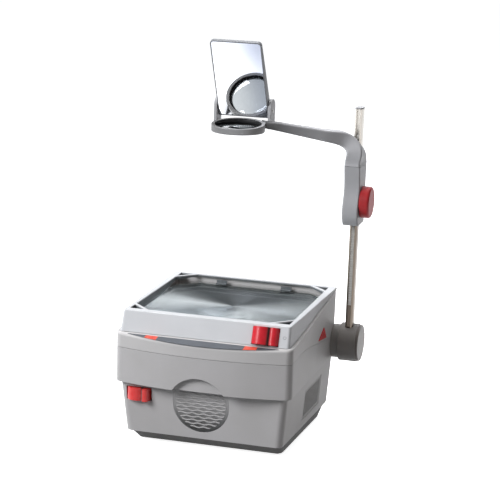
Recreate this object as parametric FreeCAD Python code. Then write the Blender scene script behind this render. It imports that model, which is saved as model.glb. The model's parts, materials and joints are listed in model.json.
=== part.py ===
import FreeCAD, Part
import math
import os

# Overhead projector, millimetres. +Z is up and is the optical axis, -Y is the front with the
# controls, +X is the mast side. The origin is on the table under the centre of the stage.

# Overall sizes
stageSize = 285.0            # clear square of the stage, for an A4 transparency
stageHeight = 241.0          # table to the top of the stage frame
bandHeight = 117.0           # table to the bottom edge of the overhanging band
plinthHeight = 26.0          # table to the top of the dark plinth
wall = 3.0                   # moulded wall thickness
seamGap = 0.6                # gap between neighbouring mouldings
seatGap = 0.15               # gap of a piece dropped into its seat
slideGap = 0.1               # guide pads on the mast
runGap = 0.05                # shaft in its bore, on the radius
pressGap = 0.02              # pin held in its bore, on the radius
restGap = 0.05               # two faces that only rest on each other
half = stageSize / 2
far = stageSize + stageHeight + 100.0      # further out than any piece reaches

# Plan of the body: half widths front and rear, front and rear edge, forward bow of the front
plinthPlanLow = (half - 11.5, half - 2.5, -half + 20.5, half - 24.5, 0.0)
plinthPlanTop = (half - 5.5, half + 4.5, -half - 9.5, half - 5.5, 0.0)
shellPlanLow = (half - 2.5, half + 7.5, -half - 16.5, half - 1.5, 0.0)
shellPlanTop = (half + 6.5, half + 12.5, -half - 26.5, half + 4.5, 0.0)
bandPlanLow = (half + 14.5, half + 14.5, -half - 29.5, half + 5.5, 20.0)
bandPlanTop = (half + 14.5, half + 14.5, -half - 32.5, half + 10.5, 21.0)
framePlanLow = (half + 8.0, half + 14.0, -half - 30.5, half + 10.0, 0.0)
framePlanTop = (half + 6.5, half + 14.0, -half - 15.5, half + 11.0, 0.0)
shellCorner = 12.0
bandCorner = 14.0
frameCorner = 5.0
frameTall = 41.0             # depth of the stage frame behind its sloped front

# Seams seen from the side: (share of the half stage, drop below the stage frame)
lidSeamShape = [(-1.51, 61), (-1.05, 61), (-0.69, 59), (-0.32, 63), (0.08, 72), (0.53, 80),
                (0.92, 84), (1.23, 85)]
frameSeamShape = [(-1.15, 35), (-0.83, 33), (-0.38, 27), (0.12, 18), (0.65, 9), (1.23, 1)]
lidSeam = [(share * half, stageHeight - drop) for share, drop in lidSeamShape]
frameSeam = [(share * half, stageHeight - drop) for share, drop in frameSeamShape]
ledgeFront = (-half - 72.5, stageHeight - 45.0)
ledgeRear = (-half - 33.5, stageHeight - 36.5)

# Stage
glassThick = 4.0
glassDepth = 12.0            # top of the frame down to the glass
fresnelThick = 2.0
stageLip = 9.0               # width of the ledge that carries the glass
cornerCut = 34.0             # leg of the diagonal across each stage corner
cornerRib = 5.0
pocketDepth = 16.0
clipX = 62.0
clipWide = 20.0
clipReach = 8.0              # how far a clip laps over the glass
clipThick = 2.0
clipPlaces = [(x, side) for x in (-clipX, clipX) for side in (-1, 1)]

# Feet, screws and floor
footTall = 3.0
footPlugR = 4.0
footPadR = 11.0
footPlaces = [(x, y) for x in (21 - plinthPlanLow[0], plinthPlanLow[0] - 21)
              for y in (plinthPlanLow[2] + 27, plinthPlanLow[3] - 26)]
screwR = 1.75
screwHeadR = 3.5
screwLong = 14.0
screwSink = 1.8              # how far the screw heads reach into the floor
screwPlaces = [(x, y) for x in (7 - plinthPlanLow[0], plinthPlanLow[0] - 7) for y in (-60, 60)]
floorTop = footTall + wall + restGap       # what stands on the base plate starts here

# Finger recess and ribbed disc on the front
gripX = -2.0
gripZ = bandHeight - 28.0
gripR = 50.5
gripPitch = 6.0
scoopDeep = 9.0

# Side vents
ventY = 15.0
ventZ = bandHeight - 49.0
ventLong = 110.0
ventTall = 56.0

# Lid hinge and latches
hingeAxis = (half + 15.0, stageHeight - 84.5)        # y, z
hingePinR = 2.5
hingeX = half - 37.5
hingeKnuckle = 14.0
latchStart = (half / 10, stageHeight - 68.0)
latchPoints = [(latchStart[0] + dy, latchStart[1] + dz) for dy, dz in ((0, 0), (38, 15.5), (58, -7.5))]

# Badge strip on the ledge
badgeHalf = half - 8.5
badgeY = -half - 34.0
badgeDeep = 19.0
badgeThick = 0.8
accentPlaces = (42 - badgeHalf, badgeHalf - 50)

# Optics below the stage, counted down from the band
baffleHeight = bandHeight - 7.0
condenserR = 36.0
condenserZ = baffleHeight - 24.0
lampHeight = condenserZ - 24.0
lampPitch = 36.0
lampR = 6.5
houseHalf = condenserR + 9.0
sheet = 1.2                  # sheet metal of the lamp house and the baffle
railYs = (32.0, 54.0)
railZ = lampHeight - 15.0
railR = 3.0
railHalf = 100.0

# Lamp changer
changerX = 28.5 - half
changerZ = bandHeight - 20.0
changerWide = 42.0
changerTall = 22.5
changerPinR = 2.0
leverPinR = 2.5
knobBack = 9.0
leverTipY = railYs[0] - 59.3

# Fan, transformer, board and mains inlet
fanSize = 80.0
fanDeep = 25.0
fanX = -72.0
fanRear = shellPlanLow[3] - wall - 0.5
fanZ = plinthHeight + 2.3 + fanSize / 2
transformerAt = (lampPitch + 56.0, railYs[1] + 38.5, floorTop)
boardAt = (85.0, -45.0, floorTop)
inletX = 70.0
inletZ = bandHeight - 25.0
inletBlades = [(-7, -2), (7, -2), (0, 3)]

# Power rocker
switchWide = 46.0
switchTall = 30.0
switchX = half - 35.0
switchZ = stageHeight - 18.5
rockerSwing = 7.0
rockerPinR = 1.5
rockerPivot = -2.0           # pivot behind the frame's face

# Mast and hub
hubY = half - 4.5
hubZ = stageHeight - 98.0
hubR = 35.0
hubStart = bandPlanLow[1] + 13.5
hubEnd = hubStart + 33.5
spindleR = 8.0
mastX = hubStart + 16.5
mastY = hubY - 6.0
mastWide = 14.0
mastDeep = 22.0
mastRound = 5.0
mastFront = mastY - mastDeep / 2
mastTop = stageHeight + 335.0
mastFoot = hubZ - 15.0
rackLow = stageHeight - 25.0
rackHigh = stageHeight + 289.0

# Rack and pinion
gearModule = 1.0
pinionTeeth = 14
pressureAngle = math.radians(20)
rackAddendum = 0.75
toothRoot = 1.15             # depth of a tooth below the pitch line, in modules
backlash = 0.25
rackWide = 6.0
rackStem = 2.6               # rack foot to its pitch line
grooveDeep = 4.0
rackLineY = mastFront + grooveDeep - rackStem - 0.5
pinionY = rackLineY - gearModule * pinionTeeth / 2
pinionZ = stageHeight + 170.0
shaftR = 3.0

# Focus carriage
carriageWide = 29.0
carriageFront = mastFront - 35.0
carriageRear = mastY + mastDeep / 2 + 5.0
carriageSplit = mastFront - 18.0           # where the front cover meets the slide block
carriageLow = pinionZ - 41.0
carriageTop = pinionZ + 67.0
padTall = 14.0
padGap = 2.2                 # depth of a pad's seat round the mast
padPlaces = (carriageLow + 4, carriageTop - 18.5)
knobR = 28.5
knobLength = 18.0

# Head
ringR = 47.0
ringBore = 39.0
ringLow = stageHeight + 298.0
ringFrontTop = ringLow + 10.0
ringRearTop = ringLow + 18.0
armEndZ = ringLow + 13.5
armBendZ = carriageTop + 52.0

# Mirror
mirrorWide = 92.0
mirrorTall = 155.0
mirrorX = -4.0
mirrorLean = 27.0            # forward of upright
mirrorFoot = (ringR + 1.0, ringLow + 19.7)           # y, z of the lower edge of the reflecting face
mirrorGlass = 3.0
mirrorAxisUp = 10.0
mirrorAxisBack = 9.0
mirrorPinR = 3.0


# Helpers
def vec(x, y, z):
    return FreeCAD.Vector(float(x), float(y), float(z))


def box(x0, x1, y0, y1, z0, z1):
    return Part.makeBox(x1 - x0, y1 - y0, z1 - z0, vec(x0, y0, z0))


def rod(start, axis, radius, length):
    return Part.makeCylinder(radius, length, vec(*start), vec(*axis))


def ringSolid(start, axis, outer, inner, length):
    return rod(start, axis, outer, length).cut(rod(start, axis, inner, length))


def prism(points, direction):
    loop = [vec(*p) for p in points]
    return Part.Face(Part.makePolygon(loop + [loop[0]])).extrude(vec(*direction))


def prismX(pointsYZ, x0, x1):
    return prism([(x0, y, z) for y, z in pointsYZ], (x1 - x0, 0, 0))


def prismY(pointsXZ, y0, y1):
    return prism([(x, y0, z) for x, z in pointsXZ], (0, y1 - y0, 0))


def prismZ(pointsXY, z0, z1):
    return prism([(x, y, z0) for x, y in pointsXY], (0, 0, z1 - z0))


def fuseAll(shapes):
    whole = shapes[0].multiFuse(shapes[1:]) if len(shapes) > 1 else shapes[0]
    return whole.removeSplitter()


def place(shape, origin, across, outward):
    """Carry a shape from its own frame, X across and Z outward, to origin."""
    x = vec(*across).normalize()
    z = vec(*outward).normalize()
    y = z.cross(x)
    rows = [(x[i], y[i], z[i], origin[i]) for i in range(3)] + [(0, 0, 0, 1)]
    matrix = FreeCAD.Matrix(*[value for row in rows for value in row])
    moved = shape.copy()
    moved.Placement = FreeCAD.Placement(matrix).multiply(shape.Placement)
    return moved


def turned(shape, centre, axis, degrees):
    moved = shape.copy()
    moved.rotate(vec(*centre), vec(*axis), degrees)
    return moved


def roundEdges(shape, radius, wanted):
    edges = [e for e in shape.Edges if wanted(e)]
    return shape.makeFillet(radius, edges)


def along(edge, axis):
    if len(edge.Vertexes) != 2:
        return False
    d = edge.Vertexes[1].Point - edge.Vertexes[0].Point
    return d.Length > 1e-6 and abs(d.normalize().dot(vec(*axis))) > 0.9


def roundedBox(x0, x1, y0, y1, z0, z1, radius, axis=(0, 0, 1)):
    return roundEdges(box(x0, x1, y0, y1, z0, z1), radius, lambda e: along(e, axis))


def planWire(plan, z):
    frontHalf, rearHalf, front, rear, bow = plan
    a, b = vec(-frontHalf, front, z), vec(frontHalf, front, z)
    c, d = vec(rearHalf, rear, z), vec(-rearHalf, rear, z)
    if bow:
        front = Part.Arc(a, vec(0, a.y - bow, z), b).toShape()
    else:
        front = Part.makeLine(a, b)
    return Part.Wire([front, Part.makeLine(b, c), Part.makeLine(c, d), Part.makeLine(d, a)])


def inset(plan, t):
    return (plan[0] - t, plan[1] - t, plan[2] + t, plan[3] - t, plan[4])


def planBlock(low, top, z0, z1, corner):
    block = Part.makeLoft([planWire(low, z0), planWire(top, z1)], True, True)
    return roundEdges(block, corner, lambda e: e.BoundBox.ZLength > 0.9 * (z1 - z0))


def curveRegion(curve, ends, x0, x1):
    """A solid across the body, bounded by a smooth (y, z) curve and the straight runs in ends."""
    spline = Part.BSplineCurve()
    spline.interpolate([vec(x0, y, z) for y, z in curve])
    tail = [vec(x0, *curve[-1])] + [vec(x0, y, z) for y, z in ends] + [vec(x0, *curve[0])]
    wire = Part.Wire([spline.toShape()] + [Part.makeLine(p, q) for p, q in zip(tail, tail[1:])])
    return Part.Face(wire).extrude(vec(x1 - x0, 0, 0))


def shifted(points, dz):
    return [(y, z + dz) for y, z in points]


def export(name, shape):
    if not shape.isValid():
        print("not valid:", name)
    shape.exportStep("parts/" + name + ".step")
    b = shape.BoundBox
    print("%-22s solids %2d  x %.1f..%.1f  y %.1f..%.1f  z %.1f..%.1f" % (
        name, len(shape.Solids), b.XMin, b.XMax, b.YMin, b.YMax, b.ZMin, b.ZMax))


# Where surfaces are
def between(low, top, z0, z1, z, index):
    share = (z - z0) / (z1 - z0)
    return low[index] + (top[index] - low[index]) * share


def shellFrontAt(z):
    return between(shellPlanLow, shellPlanTop, plinthHeight, bandHeight, z, 2)


def shellRearAt(z):
    return between(shellPlanLow, shellPlanTop, plinthHeight, bandHeight, z, 3)


def shellSideAt(y, z):
    frontHalf = between(shellPlanLow, shellPlanTop, plinthHeight, bandHeight, z, 0)
    rearHalf = between(shellPlanLow, shellPlanTop, plinthHeight, bandHeight, z, 1)
    share = (y - shellFrontAt(z)) / (shellRearAt(z) - shellFrontAt(z))
    return frontHalf + (rearHalf - frontHalf) * share


def bandRearAt(z):
    return between(bandPlanLow, bandPlanTop, bandHeight, stageHeight, z, 3)


def spindleLine(radius):
    """A rod along the mast's fold axis, from inside the case to beyond the hub."""
    return rod((bandPlanLow[1] - 57, hubY, hubZ), (1, 0, 0), radius, far)


# Base: shells
def basePlate():
    outer = planBlock(plinthPlanLow, plinthPlanTop, footTall, plinthHeight - runGap, shellCorner)
    inner = planBlock(inset(plinthPlanLow, wall), inset(plinthPlanTop, wall), footTall + wall,
                      plinthHeight, shellCorner - wall)
    slots = [box(x - 2, x + 2, -40, 40, 0, footTall + wall + 1) for x in range(-60, 61, 12)]
    holes = [rod((x, y, 0), (0, 0, 1), footPlugR + runGap, 40) for x, y in footPlaces]
    holes += [rod((x, y, 0), (0, 0, 1), screwR + runGap, 40) for x, y in screwPlaces]
    headTop = footTall + screwSink + restGap
    holes += [rod((x, y, 0), (0, 0, 1), screwHeadR + runGap, headTop) for x, y in screwPlaces]
    return outer.cut(inner).cut(Part.makeCompound(slots + holes))


def rubberFeet():
    feet = []
    for x, y in footPlaces:
        pad = rod((x, y, 0), (0, 0, 1), footPadR, footTall - restGap)
        plug = rod((x, y, 0), (0, 0, 1), footPlugR, footTall + wall)
        feet.append(pad.fuse(plug))
    return Part.makeCompound(feet)


def lowerShell():
    top = bandHeight - runGap
    outer = planBlock(shellPlanLow, shellPlanTop, plinthHeight, top, shellCorner)
    inner = planBlock(inset(shellPlanLow, wall), inset(shellPlanTop, wall), plinthHeight, top,
                      shellCorner - wall)
    floorRim = planBlock(inset(shellPlanLow, wall - 1), inset(shellPlanLow, wall - 1), plinthHeight,
                         plinthHeight + 2, shellCorner)
    opening = planBlock(inset(plinthPlanTop, 6), inset(plinthPlanTop, 6), plinthHeight - 1,
                        plinthHeight + 3, 6)
    shell = outer.cut(inner).fuse(floorRim.cut(opening))
    cuts = [changerWindow(), gripSeat(), ventOpening(1), ventOpening(-1), grilleOpening(), inletOpening()]
    shell = fuseAll([shell.cut(Part.makeCompound(cuts)), deckLedge()] + changerTabs() + screwBosses())
    pinLow = (changerX, changerPivotY, changerZ - changerTall)
    pinBore = rod(pinLow, (0, 0, 1), changerPinR + pressGap, 2 * changerTall)
    screwBores = [rod((x, y, 0), (0, 0, 1), screwR + runGap, footTall + screwLong + 1) for x, y in screwPlaces]
    return shell.cut(Part.makeCompound([pinBore] + screwBores))


def deckLedge():
    """The step inside the wall that the light baffle rests on, left open at the lamp changer."""
    z0, z1 = baffleHeight - 2, baffleHeight - restGap
    corner = shellCorner - wall
    outer = planBlock(inset(shellPlanTop, wall - 0.5), inset(shellPlanTop, wall - 0.5), z0, z1, corner)
    inner = planBlock(inset(shellPlanTop, wall + 4), inset(shellPlanTop, wall + 4), z0 - 1, z1 + 1, corner)
    shell = planBlock(shellPlanLow, shellPlanTop, plinthHeight, bandHeight, shellCorner)
    return outer.cut(inner).cut(changerNotch()).common(shell)


def changerNotch():
    """The corner of the deck that is left open for the lamp changer."""
    return box(changerX - 45, changerX + 45, -far, shellPlanTop[2] + 49, baffleHeight - 5, baffleHeight + 5)


def screwBosses():
    """Posts that the base screws bite into, each tied to the floor rim by a short arm."""
    bosses = []
    for x, y in screwPlaces:
        side = 1 if x > 0 else -1
        post = rod((x, y, floorTop), (0, 0, 1), 4.5, plinthHeight + 2 - floorTop)
        x0, x1 = sorted((x, side * (shellSideAt(y, plinthHeight) - 1)))
        bosses.append(post.fuse(box(x0, x1, y - 4, y + 4, plinthHeight, plinthHeight + 2)))
    return bosses


def changerWindow():
    halfWide, halfTall = changerWide / 2 + 1.8, changerTall / 2 + 0.8
    front = shellFrontAt(changerZ)
    return box(changerX - halfWide, changerX + halfWide, front - 12, front + 12, changerZ - halfTall,
               changerZ + halfTall)


def gripDisc(radius, front, rear):
    disc = rod((gripX, front, gripZ), (0, 1, 0), radius, rear - front)
    return disc.common(box(-far, far, front, rear, 0, bandHeight - seamGap))


def gripSeat():
    cut = gripDisc(gripR, -far, 0)
    slab = shellSkin(0.0, 1.6)
    return cut.common(slab)


def shellSkin(outerInset, innerInset):
    """The layer of the lower shell between two depths below its surface."""
    z0, z1 = plinthHeight, bandHeight
    outer = planBlock(inset(shellPlanLow, outerInset - 5), inset(shellPlanTop, outerInset - 5), z0, z1, 5)
    if outerInset >= 0:
        outer = planBlock(inset(shellPlanLow, outerInset), inset(shellPlanTop, outerInset), z0, z1, 5)
    inner = planBlock(inset(shellPlanLow, innerInset), inset(shellPlanTop, innerInset), z0, z1, 5)
    return outer.cut(inner)


def gripPanel():
    """A thin disc let into the front, with rows of raised wavy ribs for the fingers."""
    plate = gripDisc(gripR - seamGap, -far, 0).common(shellSkin(0.4, 1.55))
    limit = gripDisc(gripR - 6, -far, 0)
    ribs = []
    rows = int((gripR + bandHeight - gripZ - 12) / gripPitch)
    for row in range(rows):
        z = bandHeight - 9 - gripPitch * row
        front = shellFrontAt(z) - 1.2
        ribs.append(waveRib(z, front, row).common(limit))
    return fuseAll([plate] + [s for r in ribs for s in r.Solids])


def waveRib(z, front, row):
    """One raised rib across the disc: a wave of five swells, turned over on every other row."""
    steps = 5 * 4
    sign = 1 if row % 2 else -1
    points = []
    for i in range(steps + 1):
        x = gripX - gripR + 2 * gripR * i / steps
        points.append(vec(x, front, z + sign * math.sin(2 * math.pi * i / 4)))
    lift = vec(0, 0, 0.9)
    upper = Part.BSplineCurve()
    upper.interpolate([p + lift for p in points])
    lower = Part.BSplineCurve()
    lower.interpolate([p - lift for p in points])
    ends = [Part.makeLine(points[i] + lift, points[i] - lift) for i in (0, -1)]
    wire = Part.Wire(Part.__sortEdges__([upper.toShape(), ends[1], lower.toShape(), ends[0]]))
    return Part.Face(wire).extrude(vec(0, 2.0, 0))


def ventBlock(side, long, tall):
    """A block through one side wall, centred on its vent."""
    x0, x1 = sorted((side * (shellPlanLow[0] - 10), side * (shellPlanTop[1] + 15)))
    return box(x0, x1, ventY - long / 2, ventY + long / 2, ventZ - tall / 2, ventZ + tall / 2)


def ventOpening(side):
    return ventBlock(side, ventLong, ventTall)


def sideVents():
    """A louvred grille in each side wall, following the slope of the wall."""
    grilles = []
    skin = shellSkin(0.6, wall)
    for side in (1, -1):
        plate = ventBlock(side, ventLong - seamGap, ventTall - seamGap).common(skin)
        count = int((ventLong - 12) / 8)
        slot = ventBlock(side, 4, ventTall - seamGap - 10)
        slots = [slot.translated(vec(0, (i - (count - 1) / 2) * 8, 0)) for i in range(count)]
        grilles.append(plate.cut(Part.makeCompound(slots)))
    return Part.makeCompound([s for g in grilles for s in g.Solids])


def rearBlock(x, z, wide, tall):
    """A block through the rear wall, centred on (x, z)."""
    y0, y1 = shellPlanLow[3] - 16, shellPlanTop[3] + 23
    return box(x - wide / 2, x + wide / 2, y0, y1, z - tall / 2, z + tall / 2)


def grilleOpening():
    return rearBlock(fanX, fanZ, fanSize - 8, fanSize - 8)


def rearGrille():
    """A round guard over the fan: rings of slots between a cross of spokes."""
    side = fanSize - 8 - seamGap
    plate = rearBlock(fanX, fanZ, side, side).common(shellSkin(0.6, wall))
    slotWide = 5.5
    start = (fanX, shellPlanLow[3] - 31, fanZ)
    count = int((side / 2 - 4 - slotWide) / 8)
    rings = [ringSolid(start, (0, 1, 0), r + slotWide, r, 70) for r in range(8, 8 + 8 * count, 8)]
    spokes = fuseAll([rearBlock(fanX, fanZ, side, 3), rearBlock(fanX, fanZ, 3, side)])
    return plate.cut(Part.makeCompound([r.cut(spokes) for r in rings])).removeSplitter()


def inletOpening():
    return rearBlock(inletX, inletZ, 30.4, 24.4)


def powerInlet():
    """A flush socket for a detachable mains lead, with a keyed mouth and three blades."""
    face = shellRearAt(inletZ)
    block = box(inletX - 15, inletX + 15, face - 26, face + 1.5, inletZ - 12, inletZ + 12)
    mouthPoints = [(-11.8, -8), (11.8, -8), (11.8, 3.5), (7.5, 8), (-7.5, 8), (-11.8, 3.5)]
    mouth = prismY([(inletX + x, inletZ + z) for x, z in mouthPoints], face - 16, face + 5)
    holes = [box(inletX + x - 2, inletX + x + 2, face - 27, face, inletZ + z - 1, inletZ + z + 1)
             for x, z in inletBlades]
    return block.cut(mouth).cut(Part.makeCompound(holes))


def inletPins():
    face = shellRearAt(inletZ)
    return Part.makeCompound([box(inletX + x - 1.95, inletX + x + 1.95, face - 33, face - 2,
                                  inletZ + z - 0.95, inletZ + z + 0.95) for x, z in inletBlades])


def bandBlock(t, z0=bandHeight, z1=stageHeight):
    return planBlock(inset(bandPlanLow, t), inset(bandPlanTop, t), z0, z1, bandCorner - t)


def belowLidSeam(dz, low=bandHeight - 20):
    ends = [(lidSeam[-1][0], low), (lidSeam[0][0], low)]
    return curveRegion(shifted(lidSeam, dz), ends, -far, far)


def aboveLidSeam(dz):
    ends = [(lidSeam[-1][0], far), (lidSeam[0][0], far)]
    return curveRegion(shifted(lidSeam, dz), ends, -far, far)


def belowFrameSeam(dz):
    ends = [(frameSeam[-1][0], 0), (ledgeFront[0], 0), (ledgeFront[0], frameSeam[0][1] + dz)]
    return curveRegion(shifted(frameSeam, dz), ends, -far, far)


def ledgeHeight(y):
    (y0, z0), (y1, z1) = ledgeFront, ledgeRear
    return z0 + (z1 - z0) * (y - y0) / (y1 - y0)


def belowLedge(dz):
    """Everything under the plane of the front ledge, which rises towards the rear."""
    y0, y1 = ledgeFront[0], half - 22
    return prismX([(y0, 0), (y0, ledgeHeight(y0) + dz), (y1, ledgeHeight(y1) + dz), (y1, far), (far, far),
                   (far, 0)], -far, far)


def aboveLedge(dz):
    y0, y1 = ledgeFront[0], ledgeRear[0] + 8
    return prismX([(y0, ledgeHeight(y0) + dz), (y1, ledgeHeight(y1) + dz), (y1, far), (y0, far)], -far, far)


def aboveFrameSeam(dz):
    front = ledgeFront[0] - 10
    ends = [(frameSeam[-1][0], far), (front, far), (front, frameSeam[0][1] + dz)]
    return curveRegion(shifted(frameSeam, dz), ends, -far, far)


def middleHousing():
    """The band that overhangs the lower shell: it carries the lid hinge and the mast pivot."""
    ring = bandBlock(0).cut(bandBlock(wall))
    ring = ring.common(belowLidSeam(-seamGap / 2))
    # an inward floor flange sits on the lower shell and closes the overhang
    flange = planBlock(inset(bandPlanLow, 1), inset(bandPlanLow, 1), bandHeight, bandHeight + wall, bandCorner)
    flange = flange.cut(planBlock(inset(shellPlanTop, 8), inset(shellPlanTop, 8), bandHeight - 1,
                                  bandHeight + wall + 1, 6))
    body = ring.fuse(flange)
    scoop = scoopCutter(0)
    skin = bandBlock(0.5).cut(bandBlock(scoopDeep + 2.5))
    pan = scoopCutter(-2.5).cut(scoop).common(skin)
    body = body.cut(scoop).fuse(pan)
    knuckles = []
    for x in (-hingeX, hingeX):
        for side in (-1, 1):
            x0 = x + side * (hingeKnuckle + 0.4) - hingeKnuckle / 2
            knuckles.append(hingeBarrel(x0, hingeKnuckle, -1))
    body = fuseAll([body] + knuckles)
    bores = hingeBores(pressGap) + [spindleLine(spindleR + pressGap)]
    return body.cut(Part.makeCompound(bores)).removeSplitter()


def scoopCutter(grow):
    """The shallow round finger recess at the bottom of the band."""
    radius = gripR + 3 - grow
    disc = rod((gripX, -far, gripZ), (0, 1, 0), radius, far)
    front = planBlock(inset(bandPlanLow, -10), inset(bandPlanTop, -10), bandHeight - 40, stageHeight, 10)
    depth = front.cut(planBlock(inset(bandPlanLow, scoopDeep - grow), inset(bandPlanTop, scoopDeep - grow),
                                bandHeight - 40, stageHeight, 10))
    low = bandHeight - 1 if grow == 0 else bandHeight
    return disc.common(depth).common(box(-far, far, -far, 0, low, far))


def hingeBarrel(x0, length, side):
    """A knuckle on the rear wall: side -1 reaches down to the band, +1 up to the lid."""
    y, z = hingeAxis
    barrel = rod((x0, y, z), (1, 0, 0), hingePinR + 3, length)
    z0, z1 = sorted((z + side, z + 12 * side))
    web = box(x0, x0 + length, bandRearAt(z + 8 * side) - 1.5, y, z0, z1)
    return barrel.fuse(web).cut(bandBlock(0.5))


def hingeBores(gap):
    y, z = hingeAxis
    return [rod((x - 40, y, z), (1, 0, 0), hingePinR + gap, 80) for x in (-hingeX, hingeX)]


def hingePins():
    y, z = hingeAxis
    half = 1.5 * hingeKnuckle + 0.4
    return Part.makeCompound([rod((x - half - 1, y, z), (1, 0, 0), hingePinR, 2 * half + 2)
                              for x in (-hingeX, hingeX)])


# Base: inside
def lightBaffle():
    """A sheet deck between the lamp house and the stage cavity, with a round hole for the beam."""
    deck = planBlock(inset(shellPlanTop, wall + 1), inset(shellPlanTop, wall + 1), baffleHeight,
                     baffleHeight + sheet, shellCorner)
    hole = rod((0, 0, baffleHeight - 5), (0, 0, 1), condenserR - 2, 20)
    return deck.cut(hole).cut(changerNotch())


def lampHouse():
    """Sheet box round the lamp: open below, slotted sides, condenser seat on top."""
    h = houseHalf
    low, top = footTall + 27, condenserZ + sheet
    inside = box(-h + sheet, h - sheet, -h + sheet, h - sheet, low - 1, condenserZ)
    shell = box(-h, h, -h, h, low, top).cut(inside)
    hole = rod((0, 0, low), (0, 0, 1), condenserR - 3, top)
    rear = box(-h - 5, h + 5, 10, h + 5, low - 2, condenserZ - 10)
    slots = [box(x - 2.5, x + 2.5, -h - 5, -h + 5, low + 15, condenserZ - 6) for x in range(-32, 33, 8)]
    left = box(-h - 5, h + 5, -20, 10, railZ - 5, condenserZ - 8)
    return shell.cut(Part.makeCompound([hole, rear, left] + slots)).removeSplitter()


def condenserLens():
    seat = condenserZ + sheet + 0.1
    body = rod((0, 0, seat), (0, 0, 1), condenserR, 3)
    radius = 60.0
    cap = Part.makeSphere(radius, vec(0, 0, seat + 3 + 9 - radius))
    dome = cap.common(rod((0, 0, seat + 3), (0, 0, 1), condenserR, 30))
    return body.fuse(dome).removeSplitter()


def reflector():
    """A spherical mirror under the lamp, centred on the filament."""
    centre = vec(0, 0, lampHeight)
    bowl = Part.makeSphere(29.5, centre).cut(Part.makeSphere(28.0, centre))
    bowl = bowl.common(rod((0, 0, lampHeight - 31), (0, 0, 1), 22, 14))
    post = rod((0, 0, floorTop), (0, 0, 1), 5, lampHeight - 29 - floorTop)
    foot = rod((0, 0, floorTop), (0, 0, 1), 10, 2)
    return fuseAll([bowl, post, foot])


def lampTrack():
    """Two round rails across the base, held by a post at each end."""
    rails = [rod((-railHalf, y, railZ), (1, 0, 0), railR, 2 * railHalf) for y in railYs]
    posts = [box(x, x + 6, railYs[0] - 6, railYs[1] + 6, floorTop, railZ + 6)
             for x in (-railHalf, railHalf - 6)]
    return fuseAll(rails + posts)


def fanFrame():
    y0 = fanRear - fanDeep
    half = fanSize / 2
    body = roundedBox(fanX - half, fanX + half, y0, fanRear, fanZ - half, fanZ + half, 5, (0, 1, 0))
    duct = rod((fanX, y0 - 1, fanZ), (0, 1, 0), half - 3, fanDeep + 2)
    motor = rod((fanX, fanRear - 6, fanZ), (0, 1, 0), 17, 6)
    struts = [box(fanX - half + 2, fanX + half - 2, fanRear - 3, fanRear, fanZ - 2, fanZ + 2),
              box(fanX - 2, fanX + 2, fanRear - 3, fanRear, fanZ - half + 2, fanZ + half - 2)]
    shaft = rod((fanX, y0 + 4, fanZ), (0, 1, 0), 2.0, fanDeep - 6)
    return fuseAll([body.cut(duct), motor] + struts + [shaft])


def fanRotor():
    y0 = fanRear - fanDeep + 2
    hub = rod((fanX, y0, fanZ), (0, 1, 0), 18, fanDeep - 9)
    blades = []
    for i in range(7):
        blade = box(-1, 1, 0, fanDeep - 11, 15, fanSize / 2 - 5)
        blade.rotate(vec(0, (fanDeep - 11) / 2, 20), vec(0, 0, 1), 32)
        blade.translate(vec(0, y0 + 1, 0))
        blade.rotate(vec(0, 0, 0), vec(0, 1, 0), i * 360 / 7)
        blade.translate(vec(fanX, 0, fanZ))
        blades.append(blade)
    limit = rod((fanX, y0 + 0.5, fanZ), (0, 1, 0), fanSize / 2 - 5, fanDeep - 10)
    body = fuseAll([hub] + [b.common(limit) for b in blades])
    return body.cut(rod((fanX, 0, fanZ), (0, 1, 0), 2.0 + runGap, far))


def transformerCore():
    x, y, z = transformerAt
    core = box(x - 38, x + 38, y - 22, y + 22, z, z + 64)
    windows = [box(x + s * 19 - 8, x + s * 19 + 8, y - 30, y + 30, z + 14, z + 50) for s in (-1, 1)]
    return core.cut(Part.makeCompound(windows))


def transformerCoil():
    x, y, z = transformerAt
    coil = roundedBox(x - 26.8, x + 26.8, y - 31, y + 31, z + 14.2, z + 49.8, 6, (0, 0, 1))
    legs = [box(x - 11.2, x + 11.2, y - 22.2, y + 22.2, z, z + 64),
            box(x - 60, x - 26.8, y - 40, y + 40, z, z + 64)]
    return coil.cut(Part.makeCompound(legs))


def terminalBoard():
    """Circuit board with terminal blocks, a capacitor and a relay."""
    x, y, z = boardAt
    board = box(x - 33, x + 33, y - 30, y + 30, z, z + 1.6)
    blocks = [box(x + x0, x + x0 + 22, y - 24, y - 12, z + 1.6, z + 14) for x0 in (-28, 4)]
    capacitor = rod((x - 14, y + 12, z + 1.6), (0, 0, 1), 8, 22)
    relay = box(x + 6, x + 24, y + 4, y + 22, z + 1.6, z + 18)
    return fuseAll([board, capacitor, relay] + blocks)


def interlockSwitch():
    """A small switch on the baffle: opening the lid cuts the lamp off."""
    z = baffleHeight + sheet + restGap
    y = -half - 2.5
    body = box(-12, 12, y, y + 12, z, z + 10)
    lever = prismX([(y - 1, z + 10), (y + 11, z + 10), (y - 1, z + 14)], -3, 3)
    return fuseAll([body, lever])


def baseScrews():
    screws = []
    for x, y in screwPlaces:
        low = footTall + screwSink - 2.4
        head = rod((x, y, low), (0, 0, 1), screwHeadR, 2.4)
        shank = rod((x, y, low), (0, 0, 1), screwR, screwLong)
        screws.append(head.fuse(shank).cut(box(x - 2.6, x + 2.6, y - 0.5, y + 0.5, low - 1, low + 1)))
    return Part.makeCompound(screws)


def pivotBracket():
    """Steel plate inside the right wall that spreads the load of the mast."""
    x1 = bandPlanLow[1] - wall - 0.1
    plate = roundedBox(x1 - 4, x1, hubY - 42, hubY + 6, bandHeight + wall + 0.1, hubZ + 12, 3, (1, 0, 0))
    return plate.common(bandBlock(wall + 0.1)).cut(spindleLine(spindleR + pressGap))


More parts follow.
